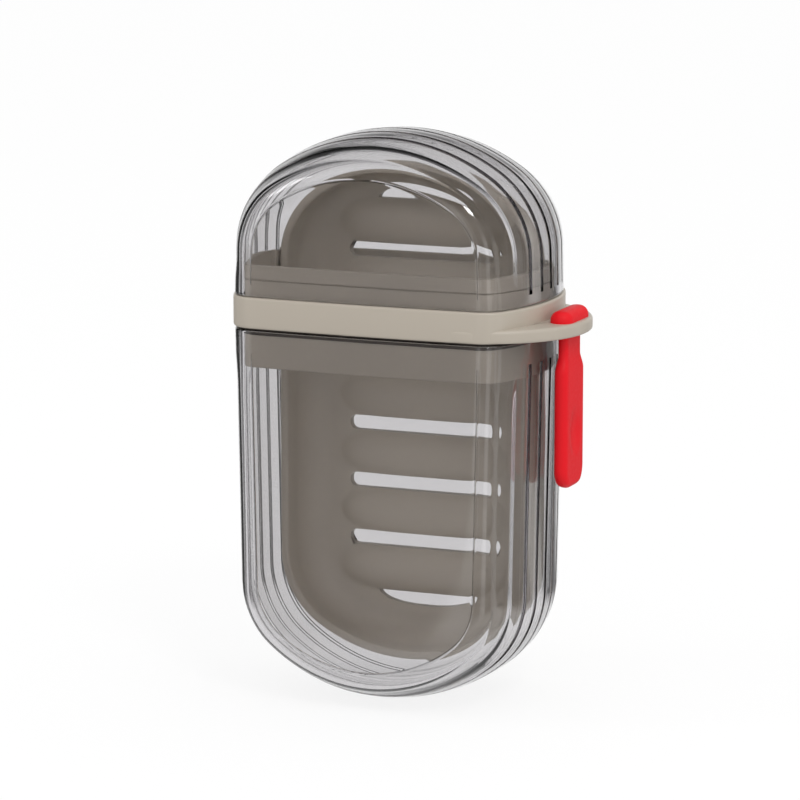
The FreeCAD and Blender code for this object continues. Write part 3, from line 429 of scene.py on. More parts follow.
# Band: sizes above its underside and insets from the shells' level section
BAND_PROUD = 0.4
UPSTAND_INSET = 2.447
SKIRT_INSET = 2.438
OPENING_INSET = 4.047
UPSTAND_TOP = 15.3
SKIRT_LOW = -8.9
GUIDE_LOW = -7.5
SEAL_HEIGHT = 1.2
SEAL_INSETS = (2.082, 2.982)
EAR_LOW = 0.6
EAR_HIGH = 3.7
EAR_RADIUS = HALF_DEPTH + BAND_PROUD
EAR_REACH = 46.69
EAR_MIDDLE = EAR_REACH - EAR_RADIUS
STRAP_X = 42.5


def band_ring(edge):
    """Band, upstand with its snap line and skirt, as one closed profile carried round the level section.

    The upstand falls a little towards the back, so that the top drain slot stays clear.
    """
    lip = 0.4
    line_low, line_high, line_depth = 11.75, 12.1, 0.35
    bead_proud, bead_top = 0.15, 12.7
    fillet = 0.3
    profile = [
        *rounded_corner((edge - BAND_PROUD, BAND_LOW + edge), edge, 270, 180),
        *rounded_corner((edge - BAND_PROUD, BAND_SEAM - edge), edge, 180, 90),
        *rounded_corner((UPSTAND_INSET - fillet, BAND_SEAM + fillet), fillet, 270, 360, 4),
        (UPSTAND_INSET, line_low),
        (UPSTAND_INSET + line_depth, line_low),
        (UPSTAND_INSET + line_depth, line_high),
        (UPSTAND_INSET - bead_proud, line_high),
        (UPSTAND_INSET, bead_top),
        *rounded_corner((UPSTAND_INSET + lip, UPSTAND_TOP - lip), lip, 180, 90),
        *rounded_corner((OPENING_INSET - lip, UPSTAND_TOP - lip), lip, 90, 0),
        *rounded_corner((OPENING_INSET - lip, SKIRT_LOW + lip), lip, 360, 270),
        *rounded_corner((SKIRT_INSET + lip, SKIRT_LOW + lip), lip, 270, 180),
        (SKIRT_INSET, -SEAL_HEIGHT),
        (SEAL_INSETS[1], -SEAL_HEIGHT),
        (SEAL_INSETS[1], BAND_LOW),
    ]
    points, quads = carry_round(profile, BOX_HEIGHT)
    back_fall, fall_reach = 1.2, 15.0
    above_line = points[:, 2] > BOX_HEIGHT + bead_top
    points[:, 2] -= back_fall * np.clip(points[:, 1] / fall_reach, 0, 1) * above_line
    return points, quads


def rim_profile(edge, low, high):
    """Rounded rim of the ear between two heights, from the top down: outward shifts and heights."""
    low_edge = 0.6
    upper = rounded_corner((-edge, high - edge), edge, 90, 0, 8)
    lower = rounded_corner((-low_edge, low + low_edge), low_edge, 0, -90, 6)
    return np.vstack([upper, lower])


def ledge_surface(side, edge):
    """Ledge that leads from the front or back of the band to the ear: a rounded profile carried along a path.

    The path is the ear's arc, drawn out straight past its middle and pulled in by a square law, so that it
    comes out of the band's face bit by bit.
    """
    hair = 0.02
    start_x, end_x, pull_in, width = 17.0, 31.0, 1.2, 2.2
    end_swing = math.radians(-50.0)
    radius = EAR_RADIUS - hair
    run = np.linspace(start_x, EAR_MIDDLE, 12, endpoint=False)
    swing = np.linspace(-QUARTER, end_swing, 36)
    out_x, out_y = np.cos(swing), np.sin(swing)
    arc = as_rows(EAR_MIDDLE + radius * out_x, radius * out_y, out_x, out_y)
    along_x, along_y, out_x, out_y = np.hstack([as_rows(run, -radius, 0, -1), arc])
    to_go = np.clip((end_x - along_x) / (end_x - start_x), 0, 1)
    along_y += pull_in * to_go**2

    low, high = EAR_LOW + hair, EAR_HIGH - hair
    profile = np.vstack([rim_profile(edge, low, high), [(-width, low), (-width, high)]])
    shift, height = profile.T[:, :, None]
    x = along_x + shift * out_x
    y = side * (along_y + shift * out_y)
    index = np.arange(x.size).reshape(x.shape)
    faces = [grid_quads(*x.shape, closed_rows=True), strip_quads(index[:, 0]), strip_quads(index[:, -1])]
    return as_points(x, y, BOX_HEIGHT + height), np.vstack(faces)


def ear_surface(edge):
    """Ear plate with the strap's slot: a rounded profile from the slot to the rim, carried round the plate.

    The rim is an arc of the ear's radius, closed inside the band's wall along the level section.
    """
    hidden_inset, hidden_share = 2.0, 1.15
    nose_end, hidden_end = 70.0, hidden_share * math.degrees(MEET_ANGLE)
    rim, out = [], []
    for centre_x, radius, sign, arc in (
        (EAR_MIDDLE, EAR_RADIUS, 1, (-nose_end, nose_end, 81)),
        (BARREL_X, SIDE_RADIUS - hidden_inset, -1, (hidden_end, -hidden_end, 41)),
    ):
        rim.append(rounded_corner((centre_x, 0), radius, *arc))
        out.append(rounded_corner((0, 0), sign, *arc))
    rim, out = np.vstack(rim), np.vstack(out)
    slot_half, above_zero = (1.5, 5.2), 1e-6
    from_slot = rim - (STRAP_X, 0)
    shares = (slot_half / np.maximum(np.abs(from_slot), above_zero)).min(axis=1, keepdims=True)
    slot = from_slot * shares + (STRAP_X, 0)

    profile = rim_profile(edge, EAR_LOW, EAR_HIGH)
    at_rim = [rim + out * shift for shift in profile[:, 0]]
    x, y = np.moveaxis(np.stack([slot, slot, *at_rim]), -1, 0)
    height = np.array([EAR_LOW, EAR_HIGH, *profile[:, 1]])[:, None]
    return as_points(x, y, BOX_HEIGHT + height), grid_quads(*x.shape, closed_rows=True, closed_columns=True)


def guide_surfaces():
    """Guide ribs and ledges inside the band that carry the lugs of the tray, on both sides."""
    edge = 0.25
    wall_x, face_x = 34.05, 32.7
    low, high = BOX_HEIGHT + GUIDE_LOW, BOX_HEIGHT + UPSTAND_TOP
    rib_width, ledge_high = 1.5, 2.0
    bite, hair = 0.4, 0.05
    lug_front, lug_back = 4.2, 7.8
    surfaces = []
    for side in (1, -1):
        near, far = sorted((side * face_x, side * wall_x))
        for front in (lug_front - rib_width, lug_back):
            surfaces.append(rounded_bar((near, front, low), (far, front + rib_width, high), edge))
        # The ledge bites into both ribs, a hair inside their faces
        ledge_low = (near + hair, lug_front - bite, low + hair)
        ledge_top = (far - hair, lug_back + bite, low + ledge_high)
        surfaces.append(rounded_bar(ledge_low, ledge_top, edge))
    return surfaces


# Soap tray: half sizes and radii of its outline, and places behind the middle of the shells
TRAY_MIDDLE_Z = 66.85
TRAY_HALF_WIDTH = 32.4
TRAY_HALF_HEIGHT = 59.8
TRAY_CORNER = 21.0
TRAY_CROWN = 42.0
TRAY_WALL = 2.0
TRAY_RIM_Y = 4.0
TRAY_FLOOR_Y = 15.9
TRAY_BEND = 9.0
TRAY_BEND_Y = TRAY_FLOOR_Y + TRAY_WALL - TRAY_BEND
TRAY_CORNER_X = TRAY_HALF_WIDTH - TRAY_CORNER
TRAY_CROWN_Z = TRAY_HALF_HEIGHT - TRAY_CROWN
TRAY_CORNER_Z = TRAY_CROWN_Z + math.sqrt((TRAY_CROWN - TRAY_CORNER) ** 2 - TRAY_CORNER_X**2)
TRAY_TURN = math.atan2(TRAY_CORNER_Z - TRAY_CROWN_Z, TRAY_CORNER_X)
FLOOR_INSET = 3.5
DRAIN_COUNT = 8
DRAIN_RISE = 1.85
DRAIN_PITCH = 14.1
DRAIN_HALF_LENGTH = 19.2
DRAIN_HALF_HEIGHT = 1.8
DRAIN_END_RADIUS = 1.6
CRESCENT_HALF_WIDTH = 11.7
CRESCENT_HEIGHT = 3.3
CRESCENT_BACK = 1.45
CRESCENT_POWER = 2.4
BAR_HALF_LENGTH = 21.5
BAR_HALF_HEIGHT = 5.6
BAR_POWER = 0.75
DRAIN_COLUMNS = 51
SIDE_COLUMNS = 14


def tray_inset(x, z):
    """How far a point lies inside the tray's outline of straight sides, corner arcs and flatter crowns."""
    x, z = np.abs(x), np.abs(z)
    run, rise = x - TRAY_CORNER_X, z - TRAY_CORNER_Z
    by_corner = TRAY_CORNER - np.hypot(run, rise)
    by_crown = TRAY_CROWN - np.hypot(x, z - TRAY_CROWN_Z)
    rounded = np.where(np.arctan2(rise, run) < TRAY_TURN, by_corner, by_crown)
    return np.where(rise <= 0, TRAY_HALF_WIDTH - x, rounded)


def tray_depth(inset, wall):
    """Depth of the floor and its bend at an inset from the outline, on the face a wall before the back."""
    radius = TRAY_BEND - wall
    run = np.clip(TRAY_BEND - inset, 0, radius)
    return TRAY_BEND_Y + np.sqrt(radius**2 - run**2)


def side_point(z):
    """Right-hand side of the floor at a height: place and outward direction on the outline, set in."""
    radius = TRAY_CORNER - FLOOR_INSET
    rise = np.clip((np.abs(z) - TRAY_CORNER_Z) / radius, 0, 1)
    angle = np.arcsin(rise) * np.sign(z)
    out_x, out_z = np.cos(angle), np.sin(angle)
    return np.column_stack([TRAY_CORNER_X + radius * out_x, z, out_x, out_z])


def end_arc(z, shares):
    """End of the floor past a height, right to left at shares of its length, with outward directions."""
    radius, crown = TRAY_CORNER - FLOOR_INSET, TRAY_CROWN - FLOOR_INSET
    start, up = math.asin((abs(z) - TRAY_CORNER_Z) / radius), np.sign(z)
    corner_length, crown_length = radius * (TRAY_TURN - start), crown * (math.pi - 2 * TRAY_TURN)
    joints = np.cumsum([0.0, corner_length, crown_length, corner_length])
    turns = [start, TRAY_TURN, math.pi - TRAY_TURN, math.pi - start]
    angle = np.interp(shares * joints[-1], joints, turns)
    out_x, out_z = np.cos(angle), np.sin(angle)
    on_crown = np.abs(angle - QUARTER) < QUARTER - TRAY_TURN
    x = np.where(on_crown, crown * out_x, TRAY_CORNER_X * np.sign(out_x) + radius * out_x)
    z = np.where(on_crown, TRAY_CROWN_Z + crown * out_z, TRAY_CORNER_Z + radius * out_z) * up
    return np.column_stack([x, z, out_x, up * out_z])


def drain_edges(number):
    """Height, lower and upper edge of a drain opening, right to left with the floor line on both sides.

    The first and the last are crescents with a straight inner edge and a bow of sqrt(1 - |x/a|^p) outside it,
    and the rest are slots with rounded ends.
    """
    z = DRAIN_RISE + (number - (DRAIN_COUNT - 1) / 2) * DRAIN_PITCH
    if number in (0, DRAIN_COUNT - 1):
        outward = 1 if number else -1
        z -= outward * CRESCENT_BACK
        x = CRESCENT_HALF_WIDTH * np.cos(np.linspace(0, math.pi, DRAIN_COLUMNS))
        bow = CRESCENT_HEIGHT * np.sqrt(1 - np.minimum(np.abs(x / CRESCENT_HALF_WIDTH), 1) ** CRESCENT_POWER)
        inner_edge = as_rows(x, z).T
        bow_edge = np.column_stack([x, z + outward * bow])
        low, high = (inner_edge, bow_edge) if outward > 0 else (bow_edge, inner_edge)
    else:
        flat_x, flat_z = DRAIN_HALF_LENGTH - DRAIN_END_RADIUS, DRAIN_HALF_HEIGHT - DRAIN_END_RADIUS
        end_steps = 9
        flat_steps = DRAIN_COLUMNS - 2 * (end_steps + 1)
        right = rounded_corner((flat_x, flat_z), DRAIN_END_RADIUS, 0, 90, end_steps)
        flat = np.linspace(flat_x, -flat_x, flat_steps + 2)[1:-1]
        middle = as_rows(flat, DRAIN_HALF_HEIGHT).T
        left = right[::-1] * (-1, 1)
        end = np.array([[DRAIN_HALF_LENGTH, 0.0]])
        high = np.vstack([end, right, middle, left, end * (-1, 1)])
        low = high * (1, -1) + (0, z)
        high = high + (0, z)
    edge_x = side_point(np.array([z]))[0, 0]
    run = np.linspace(edge_x, high[0, 0], SIDE_COLUMNS, endpoint=False)
    right = as_rows(run, z).T
    left = right[::-1] * (-1, 1)
    return z, np.vstack([right, low, left]), np.vstack([right, high, left])


def tray_surface(lip, bar_proud):
    """Soap tray as one closed surface: floor strips between drain openings, and a wall carried round them.

    A floor strip runs between the edges of two openings. Its front face swells into a bar by
    (1 - (x/a)^4 - (z/b)^2) to a power under one, and follows the bend near the outline.
    """
    cuts = [drain_edges(number) for number in range(DRAIN_COUNT)]
    rows, end_rows = 15, 10
    ends, end_strips = [], []
    for z, edge in ((cuts[0][0], cuts[0][1]), (cuts[-1][0], cuts[-1][2])):
        shares = (edge[0, 0] - edge[:, 0]) / (edge[0, 0] - edge[-1, 0])
        ends.append(end_arc(z, shares))
        end_strips.append(edge + (ends[-1][:, :2] - edge) * np.linspace(0, 1, end_rows)[:, None, None])

    strips, sides = [], []
    for (below_z, _, below), (above_z, above, _) in zip(cuts, cuts[1:]):
        share = np.linspace(0, 1, rows)[:, None, None]
        strip = below + (above - below) * share
        heights = below_z + (above_z - below_z) * share[:, 0, 0]
        side = side_point(heights)
        bulge = side[:, 0] - strip[:, 0, 0]
        columns = strip.shape[1]
        ends_at = [0, SIDE_COLUMNS - 1, columns - SIDE_COLUMNS, columns - 1]
        strip[:, :, 0] += bulge[:, None] * np.interp(np.arange(columns), ends_at, [1, 0, 0, -1])
        strips.append(strip)
        sides.append(side[:-1])

    bars = DRAIN_COUNT - 1
    middles = DRAIN_RISE + (np.arange(bars) - (bars - 1) / 2) * DRAIN_PITCH

    def floor_faces(x, z):
        nearest = middles[np.argmin(np.abs(z[..., None] - middles), axis=-1)]
        swell = 1 - (x / BAR_HALF_LENGTH) ** 4 - ((z - nearest) / BAR_HALF_HEIGHT) ** 2
        inset = tray_inset(x, z)
        front = tray_depth(inset, TRAY_WALL) - bar_proud * np.clip(swell, 0, 1) ** BAR_POWER
        return np.stack([front, tray_depth(inset, 0.0)])

    surfaces = []
    for strip in (*strips, *end_strips):
        x, z = strip[..., 0], strip[..., 1]
        for y in floor_faces(x, z):
            surfaces.append((as_points(x, y, z + TRAY_MIDDLE_Z), grid_quads(*x.shape)))
    for _, low, high in cuts:
        for edge in (low, high):
            x, z = edge[SIDE_COLUMNS:-SIDE_COLUMNS].T
            y = floor_faces(x, z)
            surfaces.append((as_points(x, y, z + TRAY_MIDDLE_Z), grid_quads(*y.shape)))

    right = np.vstack(sides)
    low_end, top_end = ends
    left = right[:0:-1] * (-1, 1, -1, 1)
    place_x, place_z, out_x, out_z = np.vstack([right, top_end, left, low_end[::-1][:-1]]).T
    inner_start = math.degrees(math.asin((TRAY_BEND - FLOOR_INSET) / (TRAY_BEND - TRAY_WALL)))
    outer_end = math.degrees(math.asin((TRAY_BEND - FLOOR_INSET) / TRAY_BEND))
    bend_centre = (TRAY_BEND, TRAY_BEND_Y)
    profile = np.vstack(
        [
            rounded_corner(bend_centre, TRAY_BEND - TRAY_WALL, 90 + inner_start, 180, 8),
            rounded_corner((TRAY_WALL - lip, TRAY_RIM_Y + lip), lip, 360, 270),
            rounded_corner((lip, TRAY_RIM_Y + lip), lip, 270, 180),
            rounded_corner(bend_centre, TRAY_BEND, 180, 90 + outer_end, 10),
        ]
    )
    shift, y = profile.T[:, :, None]
    x = place_x - (shift - FLOOR_INSET) * out_x
    z = place_z - (shift - FLOOR_INSET) * out_z
    surfaces.append((as_points(x, y, z + TRAY_MIDDLE_Z), grid_quads(*x.shape, closed_columns=True)))
    return join_surfaces(surfaces)


def lug_surfaces():
    """Lugs on both sides of the tray that sit on the ledges of the band."""
    root_x, tip_x = 31.4, 33.04
    front, back = 4.5, 7.5
    low, high = 83.7, 89.7
    edge = 0.3
    ends = ((root_x, tip_x), (-tip_x, -root_x))
    return [rounded_bar((near, front, low), (far, back, high), edge) for near, far in ends]


def strap_surface(dimple_depth):
    """Strap as rounded rectangles stacked up Z: paddle with round corners, neck and the bar of the head.

    The thumb dimple sinks the outer face by d (1 - q)^1.5 over an oval, where q grows as the square of the
    way from its middle and is one at its edge.
    """
    low, shoulder_low, shoulder_high = 53.4, 81.0, 85.0
    ear_top, head_top = BOX_HEIGHT + EAR_HIGH, 95.6
    paddle, neck, head = (1.7, 6.3), (1.25, 4.9), (2.75, 7.6)
    corner, edge, head_edge, head_corner = 4.8, 1.6, 2.2, 2.72

    rise = corner * (1 - np.cos(np.linspace(0, QUARTER, 16)))
    body = np.linspace(low + corner, shoulder_low, 42)[1:]
    shoulder = np.linspace(shoulder_low, shoulder_high, 10)[1:]
    neck_levels = np.linspace(shoulder_high, ear_top, 18)[1:]
    swing = np.linspace(0, QUARTER, 7)
    cap = head_top - head_edge + head_edge * np.sin(swing)
    levels = np.concatenate([low + rise, body, shoulder, neck_levels, [ear_top], cap])

    up = np.clip(levels - low, 0, corner)
    half_y = paddle[1] - corner + np.sqrt(corner**2 - (corner - up) ** 2)
    ease = np.clip((levels - shoulder_low) / (shoulder_high - shoulder_low), 0, 1)
    ease = ease**2 * (3 - 2 * ease)
    half_y += (neck[1] - paddle[1]) * ease
    near_end = np.clip(levels - low, 0, edge)
    half_x = paddle[0] - edge + np.sqrt(edge**2 - (edge - near_end) ** 2) + (neck[0] - paddle[0]) * ease
    most_share = 0.95
    round_corner = np.minimum(edge, half_x * most_share)
    head_rows = len(cap) + 1
    drop = np.concatenate([[0.0], head_edge * (1 - np.cos(swing))])
    half_x[-head_rows:] = head[0] - drop
    half_y[-head_rows:] = head[1] - drop
    round_corner[-head_rows:] = head_corner - drop
    loop = section_loop(corner_steps=7, flat_steps=22)
    points, faces = stacked_surface(levels, half_x, half_y, round_corner, loop)

    dimple_z, dimple_half_y, dimple_half_z, dimple_power = 66.6, 4.0, 6.4, 1.5
    oval = (points[:, 1] / dimple_half_y) ** 2 + ((points[:, 2] - dimple_z) / dimple_half_z) ** 2
    sink = dimple_depth * np.clip(1 - oval, 0, 1) ** dimple_power
    points[:, 0] -= np.where(points[:, 0] > 0, sink, 0.0)
    return points + (STRAP_X, 0, 0), faces


def add_node(tree, kind, options=None, sockets=None):
    """Adds a node with its options, and gives each socket a value, a socket or the first output of a node."""
    node = tree.nodes.new(kind)
    for name, value in (options or {}).items():
        setattr(node, name, value)
    for name, value in (sockets or {}).items():
        if isinstance(value, bpy.types.Node):
            value = value.outputs[0]
        if isinstance(value, bpy.types.NodeSocket):
            tree.links.new(value, node.inputs[name])
        else:
            node.inputs[name].default_value = value
    return node


def new_material(name):
    """Material of that name with an empty node tree."""
    material = bpy.data.materials.get(name) or bpy.data.materials.new(name)
    material.use_nodes = True
    material.node_tree.nodes.clear()
    return material, material.node_tree


def clear_plastic(colours, wall):
    """Smoke-tinted PETG, injection moulded in a polished mould.

    It gives the eye sharp reflections, and a tint that deepens where the light runs along the wall.
    """
    material, tree = new_material("clear_smoke_petg_polished")
    skin = {"Base Color": (1, 1, 1, 1), "Roughness": 0.0, "IOR": 1.57, "Transmission Weight": 1.0}
    shader = add_node(tree, "ShaderNodeBsdfPrincipled", {}, skin)
    # A wall lets through exp(-(1 - colour) x density x wall), which is the tint at this density
    least_share = 0.01
    through = [1 + math.log(max(share, least_share)) for share in colours.smoke[:3]]
    tint = add_node(tree, "ShaderNodeVolumeAbsorption", {}, {"Color": (*through, 1.0), "Density": 1.0 / wall})
    add_node(tree, "ShaderNodeOutputMaterial", {}, {"Surface": shader, "Volume": tint})
    return material


def moulded(name, colour, noises, deep_share, gloss, bump_share, skin):
    """Opaque moulding: a fine grain in its gloss and height, and a slow cloud that deepens its colour.

    Each noise has a size and a detail, the gloss is a span of roughness, and the skin holds shader values.
    """
    material, tree = new_material(name)
    place = add_node(tree, "ShaderNodeTexCoord").outputs["Object"]
    grain, cloud = [
        add_node(tree, "ShaderNodeTexNoise", {}, {"Vector": place, "Scale": 1 / size, "Detail": detail})
        for size, detail in noises
    ]
    deep = (*[deep_share * channel for channel in colour[:3]], 1.0)
    shade = add_node(tree, "ShaderNodeMix", {"data_type": "RGBA"}, {0: cloud, 6: deep, 7: colour})
    noise_span, bump_depth = (0.3, 0.7), 0.05 * MM
    rough = add_node(tree, "ShaderNodeMapRange", {}, dict(enumerate((grain, *noise_span, *gloss))))
    relief = {"Height": grain, "Strength": bump_share, "Distance": bump_depth}
    bump = add_node(tree, "ShaderNodeBump", {}, relief)
    sockets = {"Base Color": shade.outputs[2], "Roughness": rough, "Normal": bump, **skin}
    shader = add_node(tree, "ShaderNodeBsdfPrincipled", {}, sockets)
    add_node(tree, "ShaderNodeOutputMaterial", {}, {"Surface": shader})
    return material


def beige_plastic(colours):
    """Beige ABS, injection moulded in a spark-eroded mould.

    It gives the eye a fine satin grain that spreads highlights, and a slightly uneven colour from the flow.
    """
    # The real grain is about 0.1 mm and is drawn at 0.5 mm so that it shows
    grain, flow = (0.5 * MM, 2.0), (18 * MM, 3.0)
    look = {"deep_share": 0.95, "gloss": (0.36, 0.44), "bump_share": 0.08, "skin": {"IOR": 1.53}}
    return moulded("beige_abs_satin_moulded", colours.beige, (grain, flow), **look)


def silicone(name, colour, roughness):
    """Silicone, compression moulded in a blasted mould.

    It gives the eye a soft matt skin with fine uneven gloss and a faint bloom at grazing angles.
    """
    # The skin's grain is about 0.2 mm and is drawn at 0.8 mm so that it shows
    grain, cloud = (0.8 * MM, 3.0), (9 * MM, 2.0)
    spread = 0.05
    gloss = (roughness - spread, roughness + spread)
    skin = {"IOR": 1.41, "Specular IOR Level": 0.25, "Sheen Weight": 0.01, "Sheen Roughness": 0.4}
    return moulded(name, colour, (grain, cloud), deep_share=0.92, gloss=gloss, bump_share=0.06, skin=skin)


class SOAPBOX_OT_shells(bpy.types.Operator):
    """Builds the clear lower box and the clear cover"""

    bl_idname = "soapbox.shells"
    bl_label = "Clear shells"

    def execute(self, context):
        sizes, colours = context.scene.soap_box_sizes, context.scene.soap_box_colours
        grooves = (sizes.groove_width, sizes.groove_depth, sizes.groove_pitch)
        cuts = [length / MM for length in (sizes.shell_wall, *grooves, sizes.mouth_edge)]
        material = clear_plastic(colours, sizes.shell_wall)
        points, quads = shell_surface(BOX_ARCH, *cuts, sizes.box_rim / MM)
        box = put_piece("clear_box", [(points * (1, 1, -1) + (0, 0, BOX_HEIGHT), quads)], material)
        points, quads = shell_surface(COVER_ARCH, *cuts, sizes.cover_rim / MM)
        # The mouth stands a shadow gap above the band, and all above its rim stays where it is
        lift = sizes.seam_gap / MM - (BAND_HEIGHT - BAND_SEAM)
        points[:, 2] += lift * np.clip(1 - points[:, 2] * MM / sizes.cover_rim, 0, 1) + BAND_TOP
        cover = put_piece("clear_cover", [(points, quads)], material)
        for piece, body, node in ((box, "box", "lower_box"), (cover, "cover", "top_cover")):
            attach(piece, body)
            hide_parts(node)
        return {"FINISHED"}


class SOAPBOX_OT_band(bpy.types.Operator):
    """Builds the beige band with its ear, ledges and guides, and the seal ring under it"""

    bl_idname = "soapbox.band"
    bl_label = "Band and seal"

    def execute(self, context):
        sizes, colours = context.scene.soap_box_sizes, context.scene.soap_box_colours
        ear_edge = sizes.ear_edge / MM
        ledges = [ledge_surface(side, ear_edge) for side in (1, -1)]
        surfaces = [band_ring(sizes.band_edge / MM), ear_surface(ear_edge), *ledges, *guide_surfaces()]
        band = put_piece("beige_band", surfaces, beige_plastic(colours))
        edge = 0.35
        inner, outer = SEAL_INSETS[1], SEAL_INSETS[0]
        profile = [
            *rounded_corner((outer + edge, BAND_LOW - edge), edge, 180, 90),
            *rounded_corner((inner - edge, BAND_LOW - edge), edge, 90, 0),
            *rounded_corner((inner - edge, edge - SEAL_HEIGHT), edge, 0, -90),
            *rounded_corner((outer + edge, edge - SEAL_HEIGHT), edge, -90, -180),
        ]
        rubber = silicone("dark_silicone_seal_moulded", colours.seal, roughness=0.5)
        seal = put_piece("seal_ring", [carry_round(profile, BOX_HEIGHT)], rubber)
        for piece, node, slot in ((band, "band", "beige_plastic"), (seal, "box_seal", "seal_rubber")):
            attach(piece, "collar")
            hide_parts(node)
        return {"FINISHED"}


class SOAPBOX_OT_tray(bpy.types.Operator):
    """Builds the soap tray with its drain openings, bars and lugs"""

    bl_idname = "soapbox.tray"
    bl_label = "Soap tray"

    def execute(self, context):
        sizes, colours = context.scene.soap_box_sizes, context.scene.soap_box_colours
        surfaces = [tray_surface(sizes.tray_lip / MM, sizes.bar_proud / MM), *lug_surfaces()]
        tray = put_piece("drain_tray", surfaces, beige_plastic(colours))
        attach(tray, "tray")
        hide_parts("soap_tray")
        return {"FINISHED"}


class SOAPBOX_OT_strap(bpy.types.Operator):
    """Builds the silicone strap"""

    bl_idname = "soapbox.strap"
    bl_label = "Strap"

    def execute(self, context):
        sizes, colours = context.scene.soap_box_sizes, context.scene.soap_box_colours
        rubber = silicone("red_silicone_moulded", colours.red, roughness=0.48)
        strap = put_piece("red_strap", [strap_surface(sizes.dimple_depth / MM)], rubber)
        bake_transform(strap)
        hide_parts("strap_head", "strap_tail")
        return {"FINISHED"}


